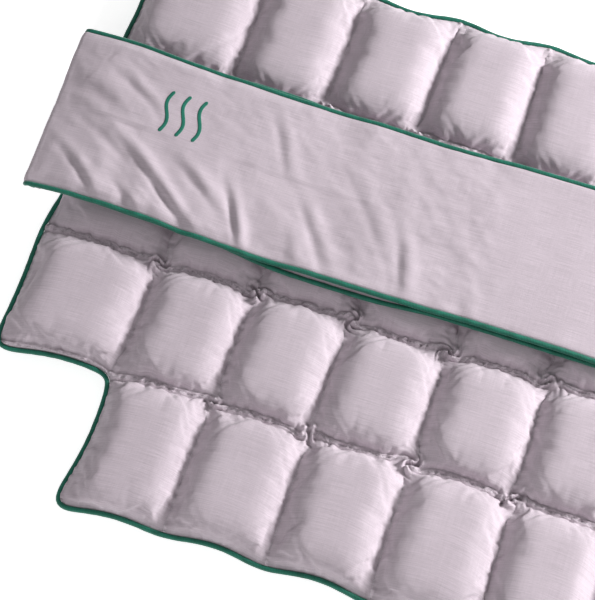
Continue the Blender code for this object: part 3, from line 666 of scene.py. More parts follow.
def refined(coarse, countU, countV, fineU, fineV):
    # the same surface on a finer grid, smooth in each pocket and creased at its seams
    rowsU = np.concatenate([[0], np.cumsum(countU)])
    rowsV = np.concatenate([[0], np.cumsum(countV)])
    n = quilt["fineCount"]
    fine = np.zeros((n * len(countU) + 1, n * len(countV) + 1, 3))
    lastColumn = len(countU) - 1
    for i in range(len(countU)):
        weightU = curveRows(countU[i], np.concatenate([[0], fineU[i * n + 1:(i + 1) * n + 1]]))
        for j in range(len(countV)):
            if i == lastColumn and j == 0:
                continue
            block = coarse[rowsU[i]:rowsU[i + 1] + 1, rowsV[j]:rowsV[j + 1] + 1]
            weightV = curveRows(countV[j], np.concatenate([[0], fineV[j * n + 1:(j + 1) * n + 1]]))
            fine[i * n:(i + 1) * n + 1, j * n:(j + 1) * n + 1] = np.einsum(
                "ap,pqk,bq->abk", weightU, block, weightV)
    return fine


def gridNormals(points):
    normal = np.cross(np.gradient(points, axis=0), np.gradient(points, axis=1))
    length = np.linalg.norm(normal, axis=2, keepdims=True)
    return normal / np.maximum(length, 1e-12)


# folds that run out from the seams, the puckered strip on each row seam and the finer one on each column
gather = {"pitch": 0.0058, "rowHeight": 0.0026, "columnHeight": 0.0014, "edgeHeight": 0.0007,
          "reach": 0.0085, "reachVary": 0.0050, "slant": 0.3, "long": 0.030, "round": 0.8, "sink": 0.35,
          "stripHeight": 0.0042, "stripHalf": 0.0036, "stripPitch": 0.0052, "valley": 0.0022,
          "valleyAt": 0.0046, "valleyWide": 0.0014, "columnStrip": 0.0030, "columnWide": 0.0022,
          "columnPitch": 0.0046, "wrinkle": 0.00040, "lowest": 0.0178}

# seed, pitch along and across, and direction of the small wrinkles
wrinkles = ((31, 0.016, 0.0042, -0.7), (32, 0.014, 0.0050, 0.5))


def gathered(seed, along, away, reachPitch=0.009):
    # folds that run out from a seam, rounded on top and sharp between, and die away unevenly
    fold = np.abs(uneven(seed, along + gather["slant"] * away, away, gather["pitch"], gather["long"]))
    reach = gather["reach"] + gather["reachVary"] * uneven(seed + 50, along, away * 0, reachPitch, 1.0)
    return (fold ** gather["round"] - gather["sink"]) * np.exp(-(away / reach) ** 2)


def sewnDetail(points, ci, cs, rj, rs):
    cols, rows = np.array(quilt["columns"]), np.array(quilt["rows"])
    nc, nr = len(cols), len(rows)
    T, S = np.meshgrid(cs, rs, indexing="ij")
    A, B = np.meshgrid(ci, rj, indexing="ij")
    x, y = points[..., 0].copy(), points[..., 1].copy()
    normal = gridNormals(points)
    raised = np.zeros_like(x)
    fromRow = np.minimum(S, 1 - S) * rows[B]
    fromColumn = np.minimum(T, 1 - T) * cols[A]
    sideRow, sideColumn = (S > 0.5).astype(int), (T > 0.5).astype(int)
    rowLine, columnLine = B + sideRow, A + sideColumn
    kinds = ((100, rowLine, sideRow, x, fromRow, (0, nr), nr, "rowHeight"),
             (200, columnLine, sideColumn, y, fromColumn, (nc,), nc, "columnHeight"))
    for seed, lineOf, sideOf, along, away, borders, last, inner in kinds:
        for line in range(last + 1):
            for side in (0, 1):
                mask = (lineOf == line) & (sideOf == side)
                height = gather["edgeHeight" if line in borders else inner]
                raised[mask] += height * gathered(seed + 2 * line + side, along[mask], away[mask])
    slope = np.sqrt(np.clip(1 - normal[..., 2] ** 2, 0, 1))
    small = sum(np.abs(uneven(seed, x, y, *pitches)) for seed, *pitches in wrinkles)
    raised += gather["wrinkle"] * (small - 0.8) * (0.25 + 1.1 * slope)
    points = points + normal * raised[..., None]
    # the sewn strips, puckered by their stitches
    innerRow = (rowLine > 0) & (rowLine < nr)
    pucker = np.abs(uneven(61, x + 0.4 * y, rowLine * 0.05, gather["stripPitch"], 0.02))
    strip = np.clip(1 - (fromRow / gather["stripHalf"]) ** 2, 0, 1) * (0.30 + 1.15 * pucker)
    valley = np.exp(-((fromRow - gather["valleyAt"]) / gather["valleyWide"]) ** 2)
    points[..., 2] += innerRow * (gather["stripHeight"] * strip - gather["valley"] * valley)
    innerColumn = (columnLine < nc) & (columnLine > 0)
    pucker = np.abs(uneven(62, y, columnLine * 0.05, gather["columnPitch"], 0.02))
    ridge = np.exp(-(fromColumn / gather["columnWide"]) ** 2)
    points[..., 2] += innerColumn * gather["columnStrip"] * ridge * (0.25 + 1.3 * pucker)
    return points


# a crossing of two seams: its twist, the lip and ruffle round it, and the curved pinch through it
knot = {"turn": 1.05, "turnVary": (0.55, 1.0), "reach": 0.0120, "sizeVary": (0.75, 1.15), "lip": 0.0055,
        "lipAt": 0.0070, "lipWide": 0.0026, "ruffle": 0.0014, "ruffleReach": 0.011,
        "rufflePitch": (0.0055, 0.0030), "curve": 0.0042, "pinch": 0.0080, "pinchLong": 0.0105,
        "pinchWide": 0.0015, "rolls": ((0.0038, 0.0056), (-0.0040, 0.7 * 0.0056)), "rollWide": 0.0021}


def knots(points):
    # every inner crossing is twisted a little, with a lip of cloth on one side and a pit on the other
    rng = np.random.default_rng(quilt["seed"] + 2)
    n = quilt["fineCount"]
    nc, nr = len(quilt["columns"]), len(quilt["rows"])
    for i in range(1, nc + 1):
        for j in range(0, nr + 1):
            turn = knot["turn"] * rng.uniform(*knot["turnVary"]) * rng.choice([-1, 1])
            face = rng.uniform(0, 2 * np.pi)
            size = rng.uniform(*knot["sizeVary"])
            if i == nc or j in (0, nr) or (i == nc - 1 and j == 1):
                continue
            half = n // 2
            part = points[i * n - half:i * n + half + 1, j * n - half:j * n + half + 1]
            tieKnot(part, points[i * n, j * n].copy(), turn, face, size, 70 + 7 * i + j)
    return points


def tieKnot(part, place, turn, face, size, seed):
    dx, dy = part[..., 0] - place[0], part[..., 1] - place[1]
    r = np.hypot(dx, dy)
    angle = turn * np.exp(-(r / knot["reach"]) ** 2)
    c, s = np.cos(angle), np.sin(angle)
    part[..., 0] = place[0] + dx * c - dy * s
    part[..., 1] = place[1] + dx * s + dy * c
    around = np.cos(np.arctan2(dy, dx) - face)
    ring = np.exp(-((r - knot["lipAt"] * size) / knot["lipWide"]) ** 2)
    part[..., 2] += knot["lip"] * size * ring * np.clip(0.25 + around, -0.3, 1.2)
    ruffle = uneven(seed, dx, dy, *knot["rufflePitch"], face)
    part[..., 2] += knot["ruffle"] * ruffle * np.exp(-(r / knot["ruffleReach"]) ** 2)
    # a curved pinch through the crossing, with a roll of cloth on both sides
    along = dx * np.cos(face) + dy * np.sin(face)
    across = dy * np.cos(face) - dx * np.sin(face) - knot["curve"] * size * np.sin(along / knot["curve"])
    reach = np.exp(-(along / (knot["pinchLong"] * size)) ** 2)
    part[..., 2] -= knot["pinch"] * size * reach * np.exp(-(across / knot["pinchWide"]) ** 2)
    for aside, high in knot["rolls"]:
        part[..., 2] += high * size * reach * np.exp(-((across - aside) / knot["rollWide"]) ** 2)


def outlineIndex(countU, countV):
    # grid indices along the left half's outer edge, from the top of the middle fold round to its bottom
    n = quilt["fineCount"]
    lastU, lastV = n * len(countU), n * len(countV)
    stepU, stepV = n * (len(countU) - 1), n
    top = [(i, lastV) for i in range(lastU + 1)]
    end = [(lastU, j) for j in range(lastV - 1, stepV - 1, -1)]
    step = [(i, stepV) for i in range(lastU - 1, stepU - 1, -1)]
    drop = [(stepU, j) for j in range(stepV - 1, -1, -1)]
    low = [(i, 0) for i in range(stepU - 1, -1, -1)]
    return np.array(top + end + step + drop + low)


def nearOutline(flat, low, high, stepX, reach, stepReach):
    # points within reach of the outline's box or of the step at its lower corner
    x, y = flat[:, 0], flat[:, 1]
    stepY = -halfWidth + quilt["rows"][0]
    atStep = (x > stepX - stepReach) & (y < stepY + stepReach)
    return (x > high[0] - reach) | (y < low[1] + reach) | (y > high[1] - reach) | atStep


def softenOutline(points, outline):
    # rounds the corners of the outer edge and carries the cloth near it along
    path = points[outline[:, 0], outline[:, 1], :2]
    mirror = path[-2:0:-1] * [-1, 1]
    loop = np.concatenate([path, mirror])
    steps = np.linalg.norm(np.diff(np.concatenate([loop, loop[:1]]), axis=0), axis=1)
    at = np.concatenate([[0], np.cumsum(steps)[:-1]])
    total = steps.sum()
    away = np.abs(at[:len(path), None] - at[None])
    away = np.minimum(away, total - away)
    weight = np.exp(-0.5 * (away / quilt["cornerSoft"]) ** 2) * ((steps + np.roll(steps, 1)) / 2)[None]
    smooth = (weight @ loop) / weight.sum(axis=1, keepdims=True)
    smooth[0, 0] = smooth[-1, 0] = 0
    shift = smooth - path
    flat = points.reshape(-1, 3)
    low, high = path.min(axis=0), path.max(axis=0)
    stepX = points[outline[:, 0].max() - quilt["fineCount"], 0, 0]
    chosen = np.flatnonzero(nearOutline(flat, low, high, stepX, rim["near"], rim["nearStep"]))
    for k in range(0, len(chosen), rim["batch"]):
        part = chosen[k:k + rim["batch"]]
        gap = np.sum((flat[part, None, :2] - path[None]) ** 2, axis=2)
        least = gap.min(axis=1)
        spread = 2 * (rim["spread"] + 0.5 * np.sqrt(least)) ** 2
        weight = np.exp(-(gap - least[:, None]) / spread[:, None])
        move = (weight @ shift) / weight.sum(axis=1, keepdims=True)
        flat[part, :2] += move * (1 - softStep(np.sqrt(least) / rim["carry"]))[:, None]
    points = flat.reshape(points.shape)
    points[outline[:, 0], outline[:, 1], :2] = smooth
    return points


def edgeDistance(points, outline):
    # distance of every point to the outer edge, exact only near it
    path = points[outline[::3, 0], outline[::3, 1], :2]
    flat = points.reshape(-1, 3)
    away = np.full(len(flat), rim["far"])
    low, high = path.min(axis=0), path.max(axis=0)
    stepX = sum(quilt["columns"][:-1])
    chosen = np.flatnonzero(nearOutline(flat, low, high, stepX, rim["measured"], rim["measured"]))
    for k in range(0, len(chosen), rim["batch"]):
        part = chosen[k:k + rim["batch"]]
        away[part] = np.sqrt(np.sum((flat[part, None, :2] - path[None]) ** 2, axis=2).min(axis=1))
    return away.reshape(points.shape[:2])


def fullPockets(points, cs, rs):
    # the simulated crown steepened, and mixed with a fuller square one
    rise = points[..., 2]
    share = 1 - rise / np.percentile(rise, quilt["tallest"])
    simulated = 1 - np.sign(share) * np.abs(share) ** quilt["steepen"]
    powerU, powerV = quilt["square"]
    full = (1 - np.abs(2 * cs - 1) ** powerU)[:, None] * (1 - np.abs(2 * rs - 1) ** powerV)[None, :]
    mix = quilt["squareShare"]
    rise[:] = (crownTop - seamTop) * ((1 - mix) * simulated + mix * quilt["squareHeight"] * full)


def softMax(a, b, soft):
    return np.logaddexp(a / soft, b / soft) * soft


def topHeights(points, thin):
    # heights of the face: rounded off at the crown, and short of the plane where the halves fold together
    soft = shell["crownSoft"]
    start = crownTop - soft
    top = points[..., 2] + seamTop
    top = np.where(top > start, start + soft * np.tanh((top - crownTop + soft) / soft), top)
    room = seamTop + shell["foldGap"] + shell["foldRoom"] * points[..., 0]
    top = -softMax(-top, -room, shell["foldSoft"])
    return np.maximum(top, gather["lowest"]) - shell["thinTop"] * thin


def underHeights(x, rise, away, thin):
    # heights of the back: shallower pockets that flatten on the ground
    calm = 1 - shell["edgeCalm"] * np.exp(-(away / shell["edgeReach"]) ** 2)
    low = softMax(seamUnder - rise * calm, seamUnder - shell["foldGap"] - x, shell["underSoft"])
    ground = softMax(low, 0, shell["floorSoft"]) - shell["floorSink"] * np.exp(-low / shell["sinkReach"])
    return np.maximum(ground, 0.0) + shell["thinUnder"] * thin


def makeQuilt(paints):
    coarse, countU, countV = simulatedFace()
    n = quilt["fineCount"]
    cols, rows = quilt["columns"], quilt["rows"]
    u, ci, cs = spans(cols, [n] * len(cols), quilt["crowd"])
    v, rj, rs = spans(rows, [n] * len(rows), quilt["crowd"])
    points = refined(coarse, countU, countV, cs, rs)
    fullPockets(points, cs, rs)
    plain = points[..., 2].copy()
    points = knots(sewnDetail(points, ci, cs, rj, rs))
    outline = outlineIndex(countU, countV)
    points[n * (len(cols) - 1) + 1:, :n] = 0
    points = softenOutline(points, outline)
    under = points.copy()
    away = edgeDistance(points, outline)
    thin = 1 - softStep(away / shell["thinReach"])
    points[..., 2] = topHeights(points, thin)
    rise = np.maximum(plain * shell["underShare"], 0)
    under[..., 2] = underHeights(points[..., 0], rise, away, thin)
    right, rightUnder = points.copy(), under.copy()
    straightenInletEdge(right, rightUnder)
    flip = np.array([-1, 1, 1])
    top = np.concatenate([points[:0:-1] * flip, right])
    bottom = np.concatenate([under[:0:-1] * flip, rightUnder])
    top[len(u) - 1, :, 0] = bottom[len(u) - 1, :, 0] = 0
    uvHalf = np.stack(np.meshgrid(u, v - halfWidth, indexing="ij"), axis=-1)
    uv = np.concatenate([uvHalf[:0:-1] * flip[:2], uvHalf])
    keepHalf = pocketsKept(ci, rj)
    made, faceCount = twoSided("quilt", top, bottom, uv, np.concatenate([keepHalf[::-1], keepHalf]))
    layers = ("face_cloth_", "backing_cloth_", "pocket_wadding_", "insulation_wadding_")
    finishPiece(made, paints["quilt"], "cloth", *(layer + side for layer in layers for side in leftRight))
    made.data.materials.append(paints["back"])
    index = np.zeros(len(made.data.polygons), np.int32)
    index[faceCount:2 * faceCount] = 1
    made.data.polygons.foreach_set("material_index", index)
    bendAtFold(made)
    print("quilt:", len(made.data.vertices), "points")
    border = [0.5 * (points[a, b] + under[a, b]) for a, b in outline]
    borderRight = [0.5 * (right[a, b] + rightUnder[a, b]) for a, b in outline]
    return top, bottom, np.array(border), np.array(borderRight)


# the edge beside the power inlet: a flat stretch, its run-out, and the cloth behind it that moves along
inletEdge = {"flat": 0.026, "runOut": 0.022, "past": 0.0010, "most": 0.02, "depth": 0.055, "ramp": 0.045}


def straightenInletEdge(top, under):
    # beside the power inlet the edge doesn't draw in
    centre = (inletLow[1] + inletHigh[1]) / 2
    n = quilt["fineCount"]
    window = 1 - softStep((np.abs(top[-1, :, 1] - centre) - inletEdge["flat"]) / inletEdge["runOut"])
    push = np.clip(halfLength + inletEdge["past"] - top[-1, :, 0], 0, inletEdge["most"]) * window
    for grid in (top, under):
        share = softStep((grid[-n:, :, 0] - (halfLength - inletEdge["depth"])) / inletEdge["ramp"])
        grid[-n:, :, 0] += push[None] * share


def bendAtFold(made):
    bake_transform(made)


stitch = {"pitch": 0.0036, "length": 0.0024, "radius": 0.00042, "proud": 0.00010, "sides": 5,
          "shoulder": 0.6, "flat": 0.8}


def evenSteps(path, pitch):
    steps = np.linalg.norm(np.diff(path, axis=0), axis=1)
    at = np.concatenate([[0], np.cumsum(steps)])
    want = np.arange(pitch / 2, at[-1], pitch)
    return np.stack([np.interp(want, at, path[:, k]) for k in range(3)], axis=1)


def turnsAlong(path):
    # for each point, a turn whose first axis runs along the path and whose last points up
    along = np.gradient(path, axis=0)
    along /= np.linalg.norm(along, axis=1)[:, None]
    side = np.cross([0.0, 0.0, 1.0], along)
    side /= np.linalg.norm(side, axis=1)[:, None]
    up = np.cross(along, side)
    return np.stack([along, side, up], axis=2)


def ringOf(sides):
    return np.arange(sides) * 2 * np.pi / sides


def stitchShape():
    # one stitch: a short thread that dives into the cloth at both ends
    half, low, count = stitch["length"] / 2, stitch["radius"] * stitch["flat"], stitch["sides"]
    shape = [[-half, 0, -low]]
    for x in (-half * stitch["shoulder"], half * stitch["shoulder"]):
        shape += [[x, low * math.cos(a), low * math.sin(a)] for a in ringOf(count)]
    shape.append([half, 0, -low])
    first = [1 + k for k in range(count)]
    second = [1 + count + k for k in range(count)]
    ahead = [(k + 1) % count for k in range(count)]
    quads = [[first[k], first[m], second[m], second[k]] for k, m in enumerate(ahead)]
    tris = [[first[m], first[k], 0] for k, m in enumerate(ahead)]
    tris += [[second[k], second[m], len(shape) - 1] for k, m in enumerate(ahead)]
    return np.array(shape), np.array(quads), np.array(tris)


def makeStitches(paints, name, grid, rise):
    # a row of small stitches along every inner seam
    middle, n = (grid.shape[0] - 1) // 2, quilt["fineCount"]
    lines = [grid[:, k * n] for k in range(1, len(quilt["rows"]))]
    lines[0] = lines[0][n:-n]
    lastColumn = len(quilt["columns"]) - 1
    for k in range(-lastColumn, lastColumn + 1):
        line = grid[middle + k * n]
        lines.append(line[n:] if abs(k) == lastColumn else line)
    even = [evenSteps(line, stitch["pitch"]) for line in lines]
    turns = np.concatenate([turnsAlong(path) for path in even])
    places = np.concatenate(even) + [0, 0, rise]
    made = repeated(name, *stitchShape(), places, turns)
    finishPiece(made, paints["thread"], "cloth")
    bendAtFold(made)
    print(name + ":", len(places), "stitches")


edgePipe = {"radius": (edgePipeHigh[2] - edgePipeLow[2]) / 2, "out": 0.0024, "step": 0.0030, "sides": 12,
            "gap": 0.0015, "endZone": 0.02, "sway": 0.0006, "swayPitch": 0.04}


def smoothed(path, passes):
    for _ in range(passes):
        path[1:-1] = 0.25 * path[:-2] + 0.5 * path[1:-1] + 0.25 * path[2:]
    return path


def outwards(path, distance):
    # the path moved sideways in plan, to the right of its direction turned a quarter
    tangent = np.gradient(path, axis=0)
    length = np.hypot(tangent[:, 0], tangent[:, 1])
    moved = path.copy()
    moved[:, 0] += distance * tangent[:, 1] / length
    moved[:, 1] -= distance * tangent[:, 0] / length
    return moved


def makeEdgePiping(paints, border, borderRight):
    # from the inlet up over the right half, round the left half and back below the inlet
    left, right = border * [-1, 1, 1], borderRight
    gap = edgePipe["gap"] + edgePipe["radius"]
    atEnd = right[:, 0] > halfLength - edgePipe["endZone"]
    first = np.flatnonzero(atEnd & (right[:, 1] > inletHigh[1] + gap))[-1]
    last = np.flatnonzero(atEnd & (right[:, 1] < inletLow[1] - gap))[0]
    path = evenSteps(np.concatenate([right[first:0:-1], left, right[-2:last - 1:-1]]), edgePipe["step"])
    path = outwards(smoothed(path, 2), edgePipe["out"])
    pitch = edgePipe["swayPitch"]
    path[:, 2] = (edgePipeLow[2] + edgePipeHigh[2]) / 2
    path[:, 2] += edgePipe["sway"] * uneven(81, path[:, 0], path[:, 1], pitch, pitch)
    made = tube("edgePiping", path, edgePipe["radius"], edgePipe["sides"], seed=82)
    finishPiece(made, paints["piping"], "piping", "edge_piping_left", "edge_piping_right_lower",
                "edge_piping_right_upper")
    bendAtFold(made)
    print("edge piping:", len(path), "rings")


# band

band = {"cell": 0.0021, "edgeRound": 0.006, "thickness": armHigh[2] - armLow[2], "edge": 0.0009,
        "stub": 0.012, "turnSteps": 12, "stubSteps": 6, "cornerRadius": 0.014, "flare": 0.030,
        "flareOver": 0.20, "slant": 0.003, "slantOver": 0.10, "drift": 0.0055, "driftOver": 0.25,
        "widen": 1.015, "bow": 0.0016, "bowCalm": 0.05, "bendLow": 0.0018, "bendHigh": 0.0020,
        "bendReach": 0.031}

# the piping on both of its runs
bandPipe = {"radius": 0.0025, "sides": 10, "armStep": 0.0026, "armIn": 0.0018, "baseStep": 0.0030,
            "baseIn": 0.0017}

# creases near the fold: place along the arm from its fold, share of the width, direction in degrees,
# length, breadth and height
creases = ((0.124, -0.46, -36, 0.110, 0.0075, 0.0046), (0.044, -0.67, -36, 0.062, 0.0065, 0.0036),
           (0.098, -0.85, -42, 0.040, 0.0060, 0.0026), (0.212, -0.64, -58, 0.056, 0.0065, 0.0040),
           (0.175, -0.36, -36, 0.060, 0.0080, 0.0034), (0.088, 0.50, -22, 0.056, 0.0070, 0.0026),
           (0.036, 0.42, -15, 0.050, 0.0120, 0.0030), (0.234, 0.40, -56, 0.052, 0.0080, 0.0022),
           (0.150, -0.78, -40, 0.050, 0.0065, 0.0026), (0.290, -0.50, -48, 0.075, 0.0090, 0.0026),
           (0.345, -0.05, -58, 0.080, 0.0100, 0.0018), (0.400, -0.62, -66, 0.060, 0.0085, 0.0024),
           (0.080, -0.20, -34, 0.070, 0.0090, 0.0030))

# how a crease is formed: shares of its breadth, length and height, and how far the arms' creases differ
crease = {"breadth": 0.86, "height": 0.68, "long": 0.55, "curve": 0.10, "troughAt": 1.35, "troughWide": 0.62,
          "trough": 0.75, "turnVary": 7, "placeVary": 0.01}

# folds that run in from the band's edges: whether on the lower edge, pitch, height and reach
edgeFolds = ((True, 0.015, 0.0015, 0.026), (True, 0.024, 0.0017, 0.060),
             (False, 0.021, 0.0012, 0.020), (False, 0.040, 0.0012, 0.050))

# uneven lie of the cloth: height, pitch along and across, direction
swells = ((0.0015, 0.075, 0.060, 0.0), (0.0005, 0.022, 0.012, -0.5), (0.00025, 0.009, 0.005, -0.4))

# the cloth stands up a little behind its fold and sinks back, and lies flat from the patch on
hump = {"height": 0.0090, "at": 0.078, "gone": 0.24, "rim": 0.010, "rimShare": 0.55, "calmOver": 0.03,
        "calm": 0.92}


def armCreases(x, share, seed, calm):
    # height of the cloth above the flat arm; x runs from the fold, share from -1 to 1 across
    y = share * bandHalf
    height = np.zeros_like(x)
    for k, (cx, cs, turn, length, broad, high) in enumerate(creases):
        angle = math.radians(turn + crease["turnVary"] * math.sin(seed + 3 * k))
        dx = x - cx - crease["placeVary"] * math.sin(seed * 2 + k)
        dy = y - cs * bandHalf
        broad *= crease["breadth"]
        along = dx * math.cos(angle) + dy * math.sin(angle)
        across = -dx * math.sin(angle) + dy * math.cos(angle) + crease["curve"] * along ** 2 / length
        envelope = np.exp(-(along / (crease["long"] * length)) ** 2)
        ridge = np.exp(-(across / broad) ** 2)
        trough = np.exp(-((across + crease["troughAt"] * broad) / (crease["troughWide"] * broad)) ** 2)
        height += crease["height"] * high * envelope * (ridge - crease["trough"] * trough)
    fromEdge = (1 - np.abs(share)) * bandHalf
    for lower, pitch, deep, reach in edgeFolds:
        part = (share < 0) == lower
        folds = uneven(seed + 3, x[part] + 0.25 * fromEdge[part], fromEdge[part], pitch, 0.05)
        height[part] += deep * folds * np.exp(-(fromEdge[part] / reach) ** 2)
    for k, (high, pitchX, pitchY, turn) in enumerate(swells):
        height += high * uneven(seed + 5 + k, x, y, pitchX, pitchY, turn)
    rise = 1 - np.clip(1 - x / hump["at"], 0, 1) ** 2
    height += hump["height"] * rise * (1 - softStep((x - hump["at"]) / hump["gone"]))
    rimShare = hump["rimShare"] + (1 - hump["rimShare"]) * softStep(fromEdge / hump["rim"])
    return height * rimShare * (1 - softStep((x - calm) / hump["calmOver"]) * hump["calm"])


def swell(share, fromEnd):
    # half thickness across the band: full in the middle, thin at its edges
    edge = np.minimum((1 - np.abs(share)) * bandHalf, fromEnd)
    full = np.sqrt(np.clip(1 - (1 - np.clip(edge / band["edgeRound"], 0, 1)) ** 2, 0, 1))
    return band["edge"] / 2 + (band["thickness"] - band["edge"]) / 2 * full


def armRun():
    # centre line of the right arm: length along the cloth, place, direction out of the cloth, and the run
    radius = armMiddle - foldZ
    length = foldX + armHigh[0]
    stub, turnLength = band["stub"], math.pi * radius
    s = np.concatenate([
        np.linspace(0, stub, band["stubSteps"] + 1)[:-1],
        stub + np.linspace(0, turnLength, band["turnSteps"] + 1)[:-1],
        stub + turnLength + np.linspace(0, length, round(length / band["cell"]) + 1)])
    run = np.maximum(s - stub - turnLength, 0)
    angle = np.clip((s - stub) / radius, 0, math.pi)
    parts = [s < stub, s < stub + turnLength]
    x = np.select(parts, [foldX - stub + s, foldX + radius * np.sin(angle)], foldX - run)
    z = np.select(parts, [baseMiddle + 0 * s, foldZ - radius * np.cos(angle)], armMiddle)
    nx = np.select(parts, [0 * s, np.sin(angle)], 0.0)
    nz = np.select(parts, [0 * s - 1, -np.cos(angle)], 1.0)
    creased = np.select(parts, [0 * s, softStep((angle - 0.6) / 2.2)], 1.0)
    return s, x, z, nx, nz, run, creased, length


def armSurface(seed):
    # right arm, from its stub under the fold to its free end: outer side, inner side and flat places
    s, x, z, nx, nz, run, creased, length = armRun()
    across = np.linspace(-1, 1, round(2 * bandHalf / band["cell"]) + 1)
    share = np.sin(across * np.pi / 2) * 0.35 + across * 0.65      # rows closer near the edges
    S, W = np.meshgrid(s, share, indexing="ij")
    fromEnd = np.broadcast_to((length - run)[:, None], S.shape)
    r = band["cornerRadius"]
    inset = r - np.sqrt(np.clip(r * r - np.clip(r - fromEnd, 0, r) ** 2, 0, None))
    flare = 1 + band["flare"] * (1 - softStep(run / band["flareOver"]))[:, None]
    wave = band["bow"] * uneven(seed + 11, S, np.sign(W) * 0.3, 0.07, 0.1) * np.abs(W)
    y = bandMid + W * (bandHalf * band["widen"] * flare - inset)
    y = y + wave * softStep(fromEnd / band["bowCalm"])
    y -= (band["drift"] * softStep(run / band["driftOver"]))[:, None]
    X = x[:, None] + band["slant"] * W * (1 - softStep(run / band["slantOver"]))[:, None]
    half = swell(W, np.maximum(fromEnd, 0))
    calm = foldX - patchFar - 0.03
    high = armCreases(np.broadcast_to(run[:, None], S.shape).copy(), W, seed, calm) * creased[:, None]
    low = half - np.maximum(high, -0.0008) * 0.85
    nx, nz, z = nx[:, None], nz[:, None], z[:, None]
    outer = np.stack([X + nx * (half + high), y, z + nz * (half + high)], axis=-1)
    inner = np.stack([X - nx * low, y, z - nz * low], axis=-1)
    uv = np.stack([np.broadcast_to(s[:, None], S.shape), W * bandHalf], axis=-1)
    return outer, inner, uv, float(s[-1])


def bendArm(made):
    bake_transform(made)


def makeBandPipe(paints, name, path, step, turn, seed, *nodes):
    # piping along a path of the band's edge, moved in so that it sits on the edge
    path = outwards(smoothed(evenSteps(path, step), 2), turn)
    pipe = tube(name, path, bandPipe["radius"], bandPipe["sides"], seed=seed)
    finishPiece(pipe, paints["piping"], "piping", *nodes)
    return pipe


def makeArm(paints, side, seed):
    outer, inner, uv, length = armSurface(seed)
    flip = np.array([1 if side == "right" else -1, 1, 1])
    outer, inner = outer * flip, inner * flip
    name = side + "Arm"
    # the right arm's grid runs towards the middle fold, so it is turned to face out
    order = slice(None, None, -1 if side == "right" else 1)
    made, _ = twoSided(name, outer[order], inner[order], uv[order])
    finishPiece(made, paints["face"], "cloth", *(part + side for part in (
        "arm_interlining_", "arm_lower_cloth_", "arm_upper_cloth_", "band_fold_")))
    bendArm(made)
    middle = 0.5 * (outer + inner)
    path = np.concatenate([middle[3:, 0], middle[-1, 1:-1], middle[:2:-1, -1]])
    pipe = makeBandPipe(paints, name + "Piping", path, bandPipe["armStep"], -flip[0] * bandPipe["armIn"],
                        seed + 20, "arm_piping_" + side)
    bendArm(pipe)
    print(name + ": flat length", round(length, 3), "m,", len(made.data.vertices), "points")
    return outer


# the base was sewn a little askew, so its piping shows beside the arms' in places
base = {"cell": 0.0035, "rows": 53, "offUpper": 0.0075, "upperAt": 0.445, "upperOver": 0.060,
        "offLower": 0.0052, "lowerAt": 0.330, "lowerOver": 0.080, "tucked": 0.0042, "tuckedFrom": 0.40,
        "tuckedOver": 0.08, "wave": 0.0008, "sway": 0.0004, "swayPitch": 0.05}


def makeBandBase(paints):
    reach = foldX - band["stub"] + 0.001
    x = np.linspace(-reach, reach, round(2 * reach / base["cell"]) + 1)
    X, W = np.meshgrid(x, np.linspace(-1, 1, base["rows"]), indexing="ij")
    far = np.abs(X)
    upper = base["offUpper"] * np.exp(-((far - base["upperAt"]) / base["upperOver"]) ** 4)
    lower = base["offLower"] * np.exp(-((far - base["lowerAt"]) / base["lowerOver"]) ** 4)
    lower -= base["tucked"] * softStep((far - base["tuckedFrom"]) / base["tuckedOver"])
    wave = base["wave"] * uneven(91, X, W, 0.09, 4.0) * np.abs(W)
    y = bandMid + W * bandHalf * band["widen"] + wave + np.where(W > 0, upper * W, lower * W)
    y -= band["drift"] * softStep((foldX - far) / band["driftOver"])
    half = swell(W, 0.02 + 0 * W)
    sway = base["sway"] * uneven(92, X, W * bandHalf, base["swayPitch"], base["swayPitch"])
    top = np.stack([X, y, baseMiddle + half + sway], axis=-1)
    under = np.stack([X, y, baseMiddle - half + sway], axis=-1)
    made, _ = twoSided("bandBase", top, under, np.stack([X, W * bandHalf], axis=-1))
    layers = ("base_interlining_", "base_lower_cloth_", "base_upper_cloth_")
    finishPiece(made, paints["face"], "cloth", "band_middle",
                *(layer + side for side in leftRight for layer in layers))
    bendAtFold(made)
    for edge, column, turn in (("Lower", 0, 1), ("Upper", -1, -1)):
        path = 0.5 * (top + under)[:, column]
        nodes = ["base_piping_" + edge.lower() + "_" + side for side in leftRight]
        pipe = makeBandPipe(paints, "basePiping" + edge, path, bandPipe["baseStep"],
                            turn * bandPipe["baseIn"], 93 + turn, *nodes)
        bendAtFold(pipe)
    print("band base:", len(made.data.vertices), "points")


mark = {"stroke": 0.0038, "swing": 0.0036, "proud": 0.00016, "pitch": 0.0175, "steps": 49, "window": 0.06,
        "blur": 0.0013}


def readSurface(grid, x, y):
    # height of a surface over a place, from the nearest points of its grid
    window = mark["window"]
    near = (np.abs(grid[..., 0] - x.mean()) < window) & (np.abs(grid[..., 1] - y.mean()) < window)
    points = grid[near & (grid[..., 2] > armMiddle)]
    gap = (points[None, :, 0] - x[:, None]) ** 2 + (points[None, :, 1] - y[:, None]) ** 2
    weight = np.exp(-gap / (2 * mark["blur"] ** 2))
    return (weight @ points[:, 2]) / weight.sum(axis=1)


